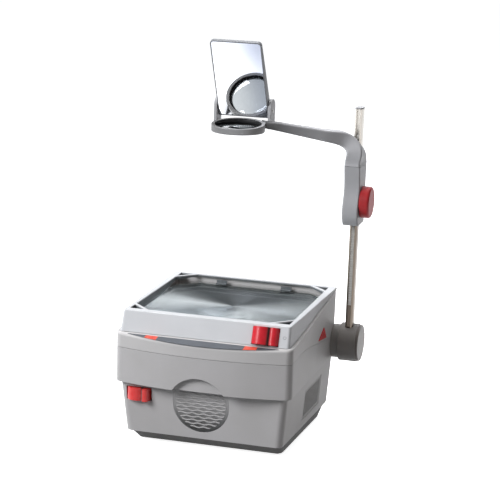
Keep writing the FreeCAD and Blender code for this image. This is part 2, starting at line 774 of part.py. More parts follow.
def pivotSpindle():
    x0 = bandPlanLow[1] - wall - 9
    shaft = rod((x0, hubY, hubZ), (1, 0, 0), spindleR, hubEnd - 3 - x0)
    head = rod((x0 - 5, hubY, hubZ), (1, 0, 0), spindleR + 1.2, 5)
    return shaft.fuse(head.common(bandBlock(wall + 0.1)))


def hubFlange():
    """The fixed collar between the body and the turning hub."""
    x0 = bandPlanLow[1] + 0.05
    collar = rod((x0, hubY, hubZ), (1, 0, 0), hubR - 4, hubStart - 0.4 - x0)
    return collar.cut(spindleLine(spindleR + pressGap))


# Changer and lamp slide
def pillowKnob(wide, tall, thick, crease, rise):
    """A finger piece in its own frame, X across and Z outward: two swells either side of a crease."""
    h = wide / 2
    a, b, c = vec(-h, 0, 1.5), vec(crease, 0, rise * 0.55), vec(h, 0, 2.0)
    left = Part.Arc(a, vec((crease - h) / 2 - 2, 0, rise), b).toShape()
    right = Part.Arc(b, vec((crease + h) / 2 + 1, 0, rise * 0.95), c).toShape()
    low = [c, vec(h, 0, -thick), vec(-h, 0, -thick), a]
    wire = Part.Wire([left, right] + [Part.makeLine(p, q) for p, q in zip(low, low[1:])])
    body = Part.Face(wire).extrude(vec(0, tall, 0))
    body.translate(vec(0, -tall / 2, 0))
    return body.common(roundedBox(-h, h, -tall / 2, tall / 2, -thick, rise + 5, 3))


def swung(shape):
    """The knob and lever rest pressed over to one side, with the first lamp in the beam."""
    return turned(shape, (changerX, changerPivotY, 0), (0, 0, 1), -changerSwing)


def changerKnob():
    knob = pillowKnob(changerWide, changerTall, knobBack, 6, 9)
    knob = place(knob, (changerX, shellFrontAt(changerZ), changerZ), (1, 0, 0), (0, -1, 0))
    bore = rod((changerX, changerPivotY, changerZ - 40), (0, 0, 1), changerPinR + runGap, 80)
    return swung(knob.cut(bore))


def changerTabs():
    """Two tabs behind the wall, above and below the knob, that carry its pin."""
    low = changerZ - changerTall / 2 - 0.8
    high = changerZ + changerTall / 2 + 0.8
    return [box(changerX - 5, changerX + 5, shellFrontAt(z) + 1, changerPivotY + 4, z, z + 2)
            for z in (low - 2, high)]


def changerPin():
    low = changerZ - changerTall / 2 - 2.8
    return rod((changerX, changerPivotY, low), (0, 0, 1), changerPinR, changerTall + 5.6)


def changerLever():
    """Bar from the knob back to the lamp slide, ending in a pin that works in its slot."""
    y0 = shellFrontAt(changerZ) + knobBack + restGap
    z = changerZ - 3
    bar = box(changerX - 3.5, changerX + 3.5, y0, leverTipY + 4, z, z + 3)
    pin = rod((changerX, leverTipY, railZ - 3), (0, 0, 1), leverPinR, z - railZ + 3.5)
    return swung(bar.fuse(pin))


def lampSlide():
    """The carriage that holds both lamps and runs on the two rails."""
    z0 = railZ - 5
    y0, y1 = railYs[0] - 7, railYs[1] + 7
    plate = box(-26, lampPitch + 26, y0, y1, z0, railZ + 5)
    tipX, tipY = changerTipX, leverTipY
    z1, z2 = railZ - 2, railZ + 1
    tongue = fuseAll([box(tipX - 8, -12, y0 - 18, y0 - 10, z1, z2), box(-26, -12, y0 - 18, y0 + 4, z1, z2),
                      box(tipX - 8, tipX + 8, tipY - 9, y0 - 10, z1, z2)])
    slotHalf = leverPinR + 0.4
    slot = box(tipX - slotHalf, tipX + slotHalf, tipY - 6, tipY + 5, railZ - 10, railZ + 10)
    bores = [rod((-far, y, railZ), (1, 0, 0), railR + runGap, 2 * far) for y in railYs]
    seats = [box(x - 9.2, x + 9.2, railYs[0] + 3.7, railYs[1] - 3.7, railZ + 2.9, railZ + 30)
             for x in (0, lampPitch)]
    return fuseAll([plate, tongue]).cut(Part.makeCompound(bores + [slot] + seats)).removeSplitter()


def lampSockets():
    blocks = []
    for x in (0, lampPitch):
        block = box(x - 9, x + 9, railYs[0] + 4, railYs[1] - 4, railZ + 3, lampHeight + 8)
        bores = [rod((x + s * 3.2, 0, lampHeight), (0, 1, 0), 0.8, 60) for s in (-1, 1)]
        blocks.append(block.cut(Part.makeCompound(bores)))
    return Part.makeCompound([s for b in blocks for s in b.Solids])


def lampCapsules():
    """Two quartz capsules lying across the beam, with pins in the sockets behind."""
    lamps = []
    for x in (0, lampPitch):
        y0 = railYs[0] + 4 - 0.1
        tube = rod((x, y0 - 9, lampHeight), (0, -1, 0), lampR, 25)
        tip = Part.makeSphere(lampR, vec(x, y0 - 34, lampHeight))
        pinch = box(x - 5, x + 5, y0 - 12, y0, lampHeight - 1.6, lampHeight + 1.6)
        pins = [rod((x + s * 3.2, y0 - 2, lampHeight), (0, 1, 0), 0.7, 12) for s in (-1, 1)]
        lamps.append(fuseAll([tube, tip, pinch] + pins))
    return Part.makeCompound(lamps)


# Lid
def lidShell():
    """Upper housing with the bowed ledge: it lifts at the front on the rear hinge."""
    outer = bandBlock(0, bandHeight, stageHeight + 10).common(belowLedge(0))
    rim = [e for e in outer.Edges if e.BoundBox.ZMin > ledgeFront[1] and e.BoundBox.XLength > 250
           and e.BoundBox.YLength > 8]
    outer = outer.makeFillet(5.0, rim).common(belowFrameSeam(-seamGap / 2))
    inner = bandBlock(wall, bandHeight, stageHeight + 10).common(belowLedge(-wall))
    inner = inner.common(belowFrameSeam(-wall))
    opening = inset(framePlanLow, 4.5)
    well = planBlock(opening, opening, stageHeight - 91, stageHeight + 19, 3)
    shell = outer.cut(inner).cut(well).common(aboveLidSeam(seamGap / 2))
    knuckles = [hingeBarrel(x - hingeKnuckle / 2, hingeKnuckle, 1) for x in (-hingeX, hingeX)]
    shell = fuseAll([shell] + knuckles)
    hubRelief = rod((bandPlanLow[1] - 0.5, hubY, hubZ), (1, 0, 0), hubR, 20)
    latches = [latchWindow(side) for side in (1, -1)]
    return shell.cut(Part.makeCompound(hingeBores(runGap) + [hubRelief] + latches))


def latchOutline(grow):
    """The three-cornered push button, its lower edge following the seam."""
    low, high, rear = latchPoints
    centre = [(low[i] + high[i] + rear[i]) / 3 for i in (0, 1)]
    points = []
    for p in (low, high, rear):
        away = math.hypot(p[0] - centre[0], p[1] - centre[1])
        share = 1 + grow / away * 1.8
        points.append((centre[0] + (p[0] - centre[0]) * share, centre[1] + (p[1] - centre[1]) * share))
    return points


def latchWindow(side):
    x0, x1 = sorted((side * (bandPlanTop[0] - wall - 2), side * (bandPlanTop[0] + 5)))
    return prismX(latchOutline(0.5), x0, x1)


def latchButton(side):
    """Push button with a retaining flange inside the wall and a hook behind it."""
    face = bandPlanTop[0]
    x0, x1 = sorted((side * (face - wall - 2), side * (face + 1.2)))
    button = prismX(latchOutline(0), x0, x1)
    f0, f1 = sorted((side * (face - wall - 2), side * (face - wall - 0.3)))
    flange = prismX(latchOutline(2.0), f0, f1).common(aboveLidSeam(1.2))
    h0, h1 = sorted((side * (face - wall - 6), side * (face - wall - 1.5)))
    y0, z0 = latchStart
    hook = box(h0, h1, y0 + 14, y0 + 30, z0 - 22, z0 + 5)
    k0, k1 = sorted((side * (face - wall - 6), side * (face - wall - 0.6)))
    catch = box(k0, k1, y0 + 14, y0 + 30, z0 - 22, z0 - 18)
    return fuseAll([button, flange, hook, catch])


def frameBlock(t):
    z0 = stageHeight - frameTall
    return planBlock(inset(framePlanLow, t), inset(framePlanTop, t), z0, stageHeight, max(frameCorner - t, 1))


def octagon(half, cut):
    return [(-half + cut, -half), (half - cut, -half), (half, -half + cut), (half, half - cut),
            (half - cut, half), (-half + cut, half), (-half, half - cut), (-half, -half + cut)]


def stageFrame():
    """Top frame: sloped front, clear square stage, a diagonal rib and a pocket at each corner."""
    top = frameBlock(0)
    glassTop = stageHeight - glassDepth
    seatZ = glassTop - glassThick - fresnelThick - 0.2
    edge = [e for e in top.Edges if e.BoundBox.ZMin > stageHeight - 0.01 and e.Length > 50]
    top = top.makeFillet(1.6, edge)
    well = prismZ(octagon(half, cornerCut), seatZ, stageHeight + 10)
    beam = prismZ(octagon(half - stageLip, cornerCut), 0, stageHeight)
    body = top.cut(frameBlock(wall).common(box(-far, far, -far, far, 0, seatZ - 2.5)))
    body = body.cut(Part.makeCompound([well, beam] + cornerPockets()))
    tongue = frameBlock(4.9).cut(frameBlock(7.0)).common(box(-far, far, -half - 23.5, far, 0, seatZ))
    tongue = tongue.common(aboveFrameSeam(-6))
    body = body.common(aboveFrameSeam(seamGap / 2)).fuse(tongue)
    w, t = switchWide / 2 + 0.8, switchTall / 2 + 0.8
    window = place(box(-w, w, -t, t, -13, 12), switchOrigin, (1, 0, 0), frontNormal)
    return body.cut(window).cut(badgeSeat()).removeSplitter()


def cornerPockets():
    leg = cornerCut - cornerRib * math.sqrt(2)
    pockets = []
    for sx in (-1, 1):
        for sy in (-1, 1):
            c = (sx * half, sy * half)
            points = [c, (c[0] - sx * leg, c[1]), (c[0], c[1] - sy * leg)]
            pockets.append(prismZ(points, stageHeight - pocketDepth, stageHeight + 10))
    return pockets


def stageGlass():
    """The clear plate, with a shallow rebate at its edge for each retaining clip."""
    z1 = stageHeight - glassDepth
    plate = prismZ(octagon(half - seatGap, cornerCut + seatGap), z1 - glassThick, z1)
    rebates = [clipBlock(x, s, clipReach + 0.2, clipWide + 0.4, z1 - clipThick - restGap, z1 + 1, 0.5 + wall)
               for x, s in clipPlaces]
    return plate.cut(Part.makeCompound(rebates))


def fresnelLens():
    z1 = stageHeight - glassDepth - glassThick - 0.1
    plate = prismZ(octagon(half - seatGap, cornerCut + seatGap), z1 - fresnelThick, z1)
    start = (0, 0, z1 - fresnelThick - 0.1)
    grooves = [ringSolid(start, (0, 0, 1), r + 0.5, r - 0.5, 0.6) for r in range(14, int(half - 30), 14)]
    return plate.cut(Part.makeCompound(grooves))


def clipBlock(x, side, reach, wide, z0, z1, beyond):
    """A block at the front or rear edge of the glass, from inside it to beyond the stage's edge."""
    y0, y1 = sorted((side * (half - reach), side * (half + beyond)))
    return box(x - wide / 2, x + wide / 2, y0, y1, z0, z1)


def glassClips():
    """Small angle clips, flush with the glass: two at the rear and two at the front."""
    z = stageHeight - glassDepth
    clips = []
    for x, s in clipPlaces:
        foot = clipBlock(x, s, clipReach, clipWide, z - clipThick, z, -0.1)
        upstand = clipBlock(x, s, clipThick, clipWide, z - clipThick, z + 5, -0.1)
        clips.append(foot.fuse(upstand).removeSplitter())
    return Part.makeCompound(clips)


def badgeOutline(gap):
    z = ledgeFront[1] - 16
    a = vec(-badgeHalf - gap * 6, badgeY - gap, z)
    b = vec(badgeHalf + gap * 6, badgeY - gap, z)
    rear = Part.makeLine(b, a)
    front = Part.Arc(a, vec(0, badgeY - badgeDeep - gap * 2, z), b).toShape()
    return Part.Face(Part.Wire([front, rear])).extrude(vec(0, 0, 50))


def badgeSeat():
    return badgeOutline(0.2).common(aboveLedge(-badgeThick))


def badgeLayer():
    """The lens-shaped layer on the ledge that the strip and its inlays share."""
    return badgeOutline(0).common(aboveLedge(restGap)).cut(aboveLedge(badgeThick + restGap))


def badgeStrip():
    """The dark lens-shaped strip along the ledge, with windows for its two coloured inlays."""
    return badgeLayer().cut(Part.makeCompound([accentBlock(x, restGap) for x in accentPlaces]))


def accentBlock(x, grow):
    y0, y1 = badgeY - 83.5, badgeY + 26.5
    return prismZ([(x - 13 - grow, y0), (x + 9 + grow, y0), (x + 15 + grow, y1), (x - 7 - grow, y1)], 0, far)


def badgeAccents():
    inlays = [badgeLayer().common(accentBlock(x, 0)) for x in accentPlaces]
    return Part.makeCompound([s for inlay in inlays for s in inlay.Solids])


def powerRocker():
    """The red on-off rocker, resting with its left end out."""
    knob = pillowKnob(switchWide, switchTall, 5, 5, 9)
    bore = rod((0, -60, rockerPivot), (0, 1, 0), rockerPinR + runGap, 120)
    knob = turned(knob.cut(bore), (0, 0, rockerPivot), (0, 1, 0), rockerSwing)
    return place(knob, switchOrigin, (1, 0, 0), frontNormal)


def switchBody():
    """Housing behind the rocker: side cheeks hold its pivot, terminals point inward."""
    wide, tall = switchWide / 2 + 0.6, switchTall / 2 + 0.6
    tub = box(-wide, wide, -tall, tall, -12.5, -9.5)
    cheeks = [box(-6, 6, *sorted((s * tall, s * (tall - 0.35))), -12, 0.5) for s in (-1, 1)]
    pin = rod((0, -tall, rockerPivot), (0, 1, 0), rockerPinR, 2 * tall)
    blades = [box(x - 0.4, x + 0.4, -11, -5, -18, -12.4) for x in (-12, 0, 12)]
    return place(fuseAll([tub, pin] + cheeks + blades), switchOrigin, (1, 0, 0), frontNormal)


# Mast
def mastTube():
    body = roundedBox(mastX - mastWide / 2, mastX + mastWide / 2, mastY - mastDeep / 2, mastY + mastDeep / 2,
                      mastFoot, mastTop, mastRound)
    core = roundedBox(mastX - mastWide / 2 + 2.2, mastX + mastWide / 2 - 2.2, mastY - mastDeep / 2 + 6.5,
                      mastY + mastDeep / 2 - 2.2, mastFoot - 1, mastTop + 1, mastRound - 2.2)
    grooveHalf = rackWide / 2 + seatGap
    groove = box(mastX - grooveHalf, mastX + grooveHalf, mastFront - 1, mastFront + grooveDeep, mastFoot + 30,
                 mastTop + 1)
    spindle = spindleLine(spindleR + 1.0)
    return body.cut(Part.makeCompound([core, groove, spindle]))


def mastCap():
    cap = roundedBox(mastX - mastWide / 2, mastX + mastWide / 2, mastY - mastDeep / 2, mastY + mastDeep / 2,
                     mastTop + 0.1, mastTop + 3.1, mastRound)
    cap = cap.makeFillet(1.2, [e for e in cap.Edges if e.BoundBox.ZMin > mastTop + 3.0])
    plug = roundedBox(mastX - mastWide / 2 + 2.4, mastX + mastWide / 2 - 2.4, mastY - mastDeep / 2 + 6.7,
                      mastY + mastDeep / 2 - 2.4, mastTop - 8, mastTop + 1, 2.4)
    return cap.fuse(plug)


def focusRack():
    """Rack let into the groove of the mast, its teeth facing forward."""
    pitch = math.pi * gearModule
    foot = mastFront + grooveDeep - 0.1
    line = rackLineY
    tooth = (pitch - backlash) / 2
    slope = math.tan(pressureAngle)
    root = line + toothRoot * gearModule
    tip = line - rackAddendum
    count = int((rackHigh - rackLow) / pitch)
    first = pinionZ - pitch * round((pinionZ - rackLow) / pitch) + pitch / 2
    points = [(foot, rackLow), (root, rackLow)]
    for i in range(count - 1):
        z = first + i * pitch
        points += [(root, z - tooth / 2 - toothRoot * slope), (tip, z - tooth / 2 + rackAddendum * slope),
                   (tip, z + tooth / 2 - rackAddendum * slope), (root, z + tooth / 2 + toothRoot * slope)]
    points += [(root, rackHigh), (foot, rackHigh)]
    return prismX(points, mastX - rackWide / 2, mastX + rackWide / 2)


def mastHub():
    """The turning hub: a drum on the spindle with a socket for the mast."""
    drum = rod((hubStart, hubY, hubZ), (1, 0, 0), hubR, hubEnd - hubStart)
    drum = roundEdges(drum, 1.5, lambda e: e.Length > 4 * hubR)
    gap = seatGap
    socket = roundedBox(mastX - mastWide / 2 - gap, mastX + mastWide / 2 + gap, mastY - mastDeep / 2 - gap,
                        mastY + mastDeep / 2 + gap, mastFoot - 0.1, hubZ + 60, mastRound)
    bore = spindleLine(spindleR + runGap)
    nose = rod((hubEnd - 3.5, hubY, hubZ), (1, 0, 0), spindleR + 1, 10)
    return drum.cut(Part.makeCompound([socket, bore, nose]))


def hubCap():
    disc = rod((hubEnd + 0.1, hubY, hubZ), (1, 0, 0), hubR - 1.5, 4.5)
    disc = roundEdges(disc, 1.5, lambda e: e.Length > 4 * hubR and e.BoundBox.XMin > hubEnd + 2)
    return disc


# Focus carriage
def guideHole(gap, z0, z1):
    return roundedBox(mastX - mastWide / 2 - gap, mastX + mastWide / 2 + gap, mastY - mastDeep / 2 - gap,
                      mastY + mastDeep / 2 + gap, z0, z1, mastRound)


def carriageBlock():
    """Slide block that wraps the mast and holds the pinion shaft."""
    x0, x1 = mastX - carriageWide / 2, mastX + carriageWide / 2
    body = box(x0, x1, carriageSplit + 0.15, carriageRear, carriageLow, carriageTop - 0.3)
    edges = [e for e in body.Edges if along(e, (0, 0, 1)) and e.BoundBox.YMin > carriageRear - 1]
    body = body.makeFillet(6.0, edges)
    gear = rod((mastX - rackWide / 2 - 1.5, pinionY, pinionZ), (1, 0, 0), 8.6, rackWide + 3)
    bore = rod((x0 + 3, pinionY, pinionZ), (1, 0, 0), shaftR + runGap, 60)
    relief = guideHole(1.2, carriageLow - 1, carriageTop + 1)
    pads = [guideHole(padGap, z, z + padTall) for z in padPlaces]
    teeth = teethSpace(carriageLow - 1, carriageTop + 1)
    return body.cut(Part.makeCompound([gear, relief, teeth, bore] + pads))


def teethSpace(z0, z1):
    """The slot in front of the mast that the rack's teeth pass through."""
    slotHalf = rackWide / 2 + 0.8
    return box(mastX - slotHalf, mastX + slotHalf, mastFront - 4, mastFront + 1, z0, z1)


def guidePads():
    """Two plastic liners inside the slide block, running on the mast."""
    teeth = teethSpace(carriageLow - 1, carriageTop + 1)
    pads = []
    for z in padPlaces:
        liner = guideHole(padGap - restGap, z + restGap, z + padTall - restGap)
        pads += liner.cut(guideHole(slideGap, z - 1, z + padTall + 1)).cut(teeth).Solids
    return Part.makeCompound(pads)


def carriageCover():
    """Front cover of the carriage, waisted above and swelling below for the hand."""
    x0, x1 = mastX - carriageWide / 2, mastX + carriageWide / 2
    front = carriageFront
    curve = [(front + 1, carriageTop - 0.3), (front + 5, carriageTop - 22), (front + 7, carriageTop - 42),
             (front + 1, carriageTop - 62), (front - 3, carriageTop - 80), (front + 2, carriageLow + 8),
             (front + 8, carriageLow)]
    spline = Part.BSplineCurve()
    spline.interpolate([vec(x0, y, z) for y, z in curve])
    corners = [curve[-1], (carriageSplit, carriageLow), (carriageSplit, carriageTop - 0.3), curve[0]]
    tail = [vec(x0, y, z) for y, z in corners]
    wire = Part.Wire([spline.toShape()] + [Part.makeLine(p, q) for p, q in zip(tail, tail[1:])])
    body = Part.Face(wire).extrude(vec(x1 - x0, 0, 0))
    body = roundEdges(body, 2.5, lambda e: e.BoundBox.YMin < front + 5 and e.BoundBox.ZLength > 60
                      and e.BoundBox.XLength < 0.1)
    gear = rod((mastX - rackWide / 2 - 1.5, pinionY, pinionZ), (1, 0, 0), 9.0, rackWide + 3)
    return body.cut(gear)


def gearOutline():
    """Involute teeth about the origin in (y, z), thinned for backlash."""
    n = pinionTeeth
    pitchR = gearModule * n / 2
    baseR = pitchR * math.cos(pressureAngle)
    tipR = pitchR + gearModule
    rootR = pitchR - rackAddendum - 0.35
    halfTooth = (math.pi / 2 * gearModule - backlash / 2) / 2 / pitchR
    inv = math.tan(pressureAngle) - pressureAngle
    start = max(baseR, rootR)
    flank = []
    for i in range(5):
        r = start + (tipR - start) * i / 4
        a = math.acos(min(1.0, baseR / r))
        flank.append((r, halfTooth + inv - (math.tan(a) - a)))
    points = []
    for k in range(n):
        mid = 2 * math.pi * k / n
        lead = [(rootR, mid - flank[0][1])] + [(r, mid - t) for r, t in flank]
        trail = [(r, mid + t) for r, t in reversed(flank)] + [(rootR, mid + flank[0][1])]
        points += [(r * math.cos(t), r * math.sin(t)) for r, t in lead + trail]
    return points


def focusPinion():
    """Steel shaft with its toothed middle, meshing with the rack."""
    x0 = mastX - rackWide / 2 + 0.5
    teeth = prismX([(pinionY + y, pinionZ + z) for y, z in gearOutline()], x0, x0 + rackWide - 1)
    start = (mastX - carriageWide / 2 + 3.5, pinionY, pinionZ)
    shaft = rod(start, (1, 0, 0), shaftR, carriageWide - 3.5 + knobLength - 4)
    return teeth.fuse(shaft)


def focusKnob():
    x0 = mastX + carriageWide / 2 + 0.6
    body = rod((x0, pinionY, pinionZ), (1, 0, 0), knobR, knobLength)
    body = roundEdges(body, 4.5, lambda e: e.Length > 100 and e.BoundBox.XMin > x0 + 1)
    body = roundEdges(body, 1.5, lambda e: e.Length > 170 and e.BoundBox.XMax < x0 + 1)
    bore = rod((x0 - 1, pinionY, pinionZ), (1, 0, 0), shaftR + pressGap, knobLength - 3)
    return body.cut(bore)


# Arm and head
def section(centre, across, wide, tall, radius, tilt):
    """Rounded rectangle: wide along the level direction across, tall along the tilted normal to it."""
    w = vec(*across).normalize()
    h = vec(*tilt).normalize()
    c = vec(*centre)
    a, b = wide / 2, tall / 2
    r = radius
    k = r * (1 - math.sqrt(0.5))

    def at(u, v):
        return c + w * u + h * v
    corners = [((a - r, b), (a - k, b - k), (a, b - r)), ((a, -b + r), (a - k, -b + k), (a - r, -b)),
               ((-a + r, -b), (-a + k, -b + k), (-a, -b + r)), ((-a, b - r), (-a + k, b - k), (-a + r, b))]
    edges = []
    for i, (p, q, s) in enumerate(corners):
        edges.append(Part.Arc(at(*p), at(*q), at(*s)).toShape())
        nxt = corners[(i + 1) % 4][0]
        edges.append(Part.makeLine(at(*s), at(*nxt)))
    return Part.Wire(edges)


def projectionArm():
    """One moulding: it rises from the carriage, bends over and slopes gently up to the lens ring."""
    depth = carriageRear - carriageFront
    wide = carriageWide
    middle = (carriageFront + carriageRear) / 2
    reach = math.hypot(mastX, pinionY)
    d = (-mastX / reach, -pinionY / reach)
    side = (-d[1], d[0], 0)
    bend = 0.25
    end = 1 - (ringR - 3) / reach
    rise = (armEndZ - armBendZ) / (end - bend) / reach
    up = (-d[0] * rise, -d[1] * rise, 1)

    def run(share):
        return (mastX * (1 - share), pinionY * (1 - share), armEndZ - (end - share) * reach * rise)
    sections = [
        section((mastX, middle, carriageTop), (0, -1, 0), depth, wide, 3.5, (1, 0, 0)),
        section((mastX, middle - 1, carriageTop + 14), (0.05, -1, 0), depth - 4, wide, 3.5, (1, 0, 0.06)),
        section((mastX - 4, middle - 5, carriageTop + 29), (0.25, -1, 0), depth - 14, wide, 3.5, (1, 0.2, 0.45)),
        section((mastX - 20, pinionY - 8, carriageTop + 44), side, depth - 26, wide - 2, 3.5, (0.6, 0.3, 1)),
    ]
    steps = 5
    for i in range(steps + 1):
        share = i / steps
        sections.append(section(run(bend + (end - bend) * share), side, 28 - 4 * share, 21 - 8.5 * share, 3.5, up))
    body = Part.makeLoft(sections, True, False)
    passage = guideHole(1.2, carriageTop - 1, mastTop + 20)
    return body.cut(Part.makeCompound([passage, teethSpace(carriageTop - 1, mastTop + 20), ringSpace()]))


def ringSpace():
    """What the arm and the mirror bracket leave free for the lens ring."""
    return rod((0, 0, ringLow - 50), (0, 0, 1), ringR + pressGap, 150)


def lensRing():
    """Open ring that carries the lens: its top slopes down towards the front."""
    z1 = ringRearTop + 3
    tube = ringSolid((0, 0, ringLow), (0, 0, 1), ringR, ringBore + 2.5, z1 - ringLow)
    foot = ringSolid((0, 0, ringLow), (0, 0, 1), ringR - 1, ringBore - 2, 3)
    slope = prismX([(-80, ringFrontTop), (-ringR, ringFrontTop), (ringR, ringRearTop), (80, ringRearTop),
                    (80, z1 + 20), (-80, z1 + 20)], -80, 80)
    body = fuseAll([tube, foot]).cut(slope)
    edge = [e for e in body.Edges if e.BoundBox.ZMax < ringLow + 0.01 and e.BoundBox.XLength > 2 * ringR - 3]
    return body.makeChamfer(1.2, edge)


def objectiveLens():
    z = ringLow + 3.1
    rimR = ringBore + 2.3
    core = rod((0, 0, z), (0, 0, 1), rimR, 3)
    radius = 160.0
    sag = radius - math.sqrt(radius ** 2 - (rimR - 2) ** 2)
    upper = Part.makeSphere(radius, vec(0, 0, z + 3 + sag - radius)).common(
        rod((0, 0, z + 3), (0, 0, 1), rimR - 2, 20))
    return core.fuse(upper).removeSplitter()


def lensRetainer():
    z = ringLow + 6.2
    return ringSolid((0, 0, z), (0, 0, 1), ringBore + 2.45, ringBore + 0.5, 1.2)


def hingePoint():
    lean = math.radians(mirrorLean)
    up = (-math.sin(lean), math.cos(lean))
    back = (math.cos(lean), math.sin(lean))
    return (mirrorFoot[0] + up[0] * mirrorAxisUp + back[0] * mirrorAxisBack,
            mirrorFoot[1] + up[1] * mirrorAxisUp + back[1] * mirrorAxisBack)


def mirrorBracket():
    """Two rounded ears on a cross bar behind the lens ring."""
    y, z = hingePoint()
    side = mirrorWide / 2
    bar = box(mirrorX - side - 6, mirrorX + side + 6, y - 9, y + 9, ringLow + 2, ringLow + 10)
    ears = []
    for s in (-1, 1):
        x0, x1 = sorted((mirrorX + s * (side + 0.8), mirrorX + s * (side + 6)))
        ear = box(x0, x1, y - 15, y + 15, ringLow + 2, z + 6)
        ear = ear.fuse(rod((x0, y, z + 6), (1, 0, 0), 15, x1 - x0))
        ears.append(ear)
    bore = rod((-far, y, z), (1, 0, 0), mirrorPinR + runGap, 2 * far)
    return fuseAll([bar] + ears).cut(ringSpace()).cut(bore).cut(projectionArm())


def mirrorPlace(shape):
    """From the mirror's own frame, X across, Y up the plate and Z behind it, to its rest pose."""
    lean = math.radians(mirrorLean)
    behind = (0, math.cos(lean), math.sin(lean))
    return place(shape, (mirrorX, mirrorFoot[0], mirrorFoot[1]), (-1, 0, 0), behind)


def mirrorSlab(outline, sideHalf):
    """A block in the mirror's own frame with an outline in (up the plate, behind it)."""
    face = Part.Face(Part.makePolygon([vec(-sideHalf, u, w) for u, w in outline + [outline[0]]]))
    return face.extrude(vec(2 * sideHalf, 0, 0))


def mirrorHousing():
    """Wedge-shaped back shell, thick at the hinge, with a thin rim round the glass."""
    side = mirrorWide / 2
    body = mirrorSlab([(0, 0), (0, 16), (20, 16.5), (mirrorTall, 6), (mirrorTall, 0)], side)
    body = roundEdges(body, 7, lambda e: along(e, (0, 0, 1)) and e.BoundBox.YMin > mirrorTall - 1)
    seat = roundedBox(-side + 2, side - 2, 2, mirrorTall - 2, -1, mirrorGlass + 0.2, 5)
    low, top, floor = 24, mirrorTall - 3, mirrorGlass + 0.1
    hollow = mirrorSlab([(low, floor), (low, 13.6), (top, 4), (top, floor)], side - 2.5)
    bore = rod((-mirrorWide, mirrorAxisUp, mirrorAxisBack), (1, 0, 0), mirrorPinR + pressGap, 2 * mirrorWide)
    return mirrorPlace(body.cut(Part.makeCompound([seat, hollow, bore])))


def mirrorPlate():
    side = mirrorWide / 2 - 2.1
    return mirrorPlace(roundedBox(-side, side, 2.1, mirrorTall - 2.1, 0.2, mirrorGlass + 0.1, 4.9))


def mirrorPivots():
    side = mirrorWide / 2
    pins = []
    for s in (-1, 1):
        x0, x1 = sorted((s * (side - 12), s * (side + 6.4)))
        pins.append(rod((x0, mirrorAxisUp, mirrorAxisBack), (1, 0, 0), mirrorPinR, x1 - x0))
    return mirrorPlace(Part.makeCompound(pins))


changerPivotY = shellFrontAt(changerZ) + 5.5
leverLong = leverTipY - changerPivotY
changerSwing = math.degrees(math.asin(lampPitch / 2 / leverLong))
changerTipX = changerX + lampPitch / 2
frontSlope = math.atan2(framePlanTop[2] - framePlanLow[2], frameTall)
frontNormal = (0, -math.cos(frontSlope), math.sin(frontSlope))
switchOrigin = (switchX, framePlanLow[2] + (switchZ - stageHeight + frameTall) * math.tan(frontSlope), switchZ)

pieces = {
    "base_plate": basePlate, "rubber_feet": rubberFeet, "base_screws": baseScrews,
    "lower_shell": lowerShell, "grip_panel": gripPanel, "side_vents": sideVents,
    "rear_grille": rearGrille, "power_inlet": powerInlet, "inlet_pins": inletPins,
    "middle_housing": middleHousing, "lid_hinge_pins": hingePins, "light_baffle": lightBaffle,
    "lamp_house": lampHouse, "condenser_lens": condenserLens,
    "reflector": reflector, "lamp_track": lampTrack,
    "fan_frame": fanFrame, "fan_rotor": fanRotor, "transformer_core": transformerCore,
    "transformer_coil": transformerCoil, "terminal_board": terminalBoard,
    "interlock_switch": interlockSwitch,
    "pivot_bracket": pivotBracket, "pivot_spindle": pivotSpindle, "hub_flange": hubFlange,
    "changer_knob": changerKnob, "changer_pin": changerPin, "changer_lever": changerLever,
    "lamp_slide": lampSlide, "lamp_sockets": lampSockets, "lamp_capsules": lampCapsules,
    "lid_shell": lidShell, "stage_frame": stageFrame, "stage_glass": stageGlass,
    "fresnel_lens": fresnelLens, "glass_clips": glassClips, "badge_strip": badgeStrip,
    "badge_accents": badgeAccents, "power_rocker": powerRocker, "switch_body": switchBody,
    "mast": mastTube, "mast_cap": mastCap, "focus_rack": focusRack, "mast_hub": mastHub,
    "hub_cap": hubCap, "carriage_block": carriageBlock, "guide_pads": guidePads,
    "carriage_cover": carriageCover, "focus_pinion": focusPinion, "focus_knob": focusKnob,
    "projection_arm": projectionArm, "lens_ring": lensRing, "objective_lens": objectiveLens,
    "lens_retainer": lensRetainer, "mirror_bracket": mirrorBracket, "mirror_housing": mirrorHousing,
    "mirror_glass": mirrorPlate, "mirror_pivots": mirrorPivots,
}

os.makedirs("parts", exist_ok=True)
for name, make in pieces.items():
    export(name, make())
export("latch_right", latchButton(1))
export("latch_left", latchButton(-1))
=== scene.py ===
import json
import math

import bmesh
import bpy
from mathutils import Matrix, Vector


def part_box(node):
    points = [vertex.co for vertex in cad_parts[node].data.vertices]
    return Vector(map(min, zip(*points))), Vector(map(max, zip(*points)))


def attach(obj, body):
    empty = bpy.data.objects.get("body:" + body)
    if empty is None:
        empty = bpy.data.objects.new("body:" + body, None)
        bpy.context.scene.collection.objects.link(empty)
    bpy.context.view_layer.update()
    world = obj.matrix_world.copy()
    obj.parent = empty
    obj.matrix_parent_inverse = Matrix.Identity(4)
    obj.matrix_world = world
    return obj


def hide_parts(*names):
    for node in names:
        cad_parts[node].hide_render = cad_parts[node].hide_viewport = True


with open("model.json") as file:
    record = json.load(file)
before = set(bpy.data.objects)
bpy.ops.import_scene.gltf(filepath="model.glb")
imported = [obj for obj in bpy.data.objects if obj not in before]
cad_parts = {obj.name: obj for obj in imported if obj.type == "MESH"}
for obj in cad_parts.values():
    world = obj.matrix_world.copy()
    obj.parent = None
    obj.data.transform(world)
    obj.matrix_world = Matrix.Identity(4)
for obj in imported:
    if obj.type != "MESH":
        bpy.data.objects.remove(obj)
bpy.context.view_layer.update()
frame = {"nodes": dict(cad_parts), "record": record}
nodes = frame["nodes"]
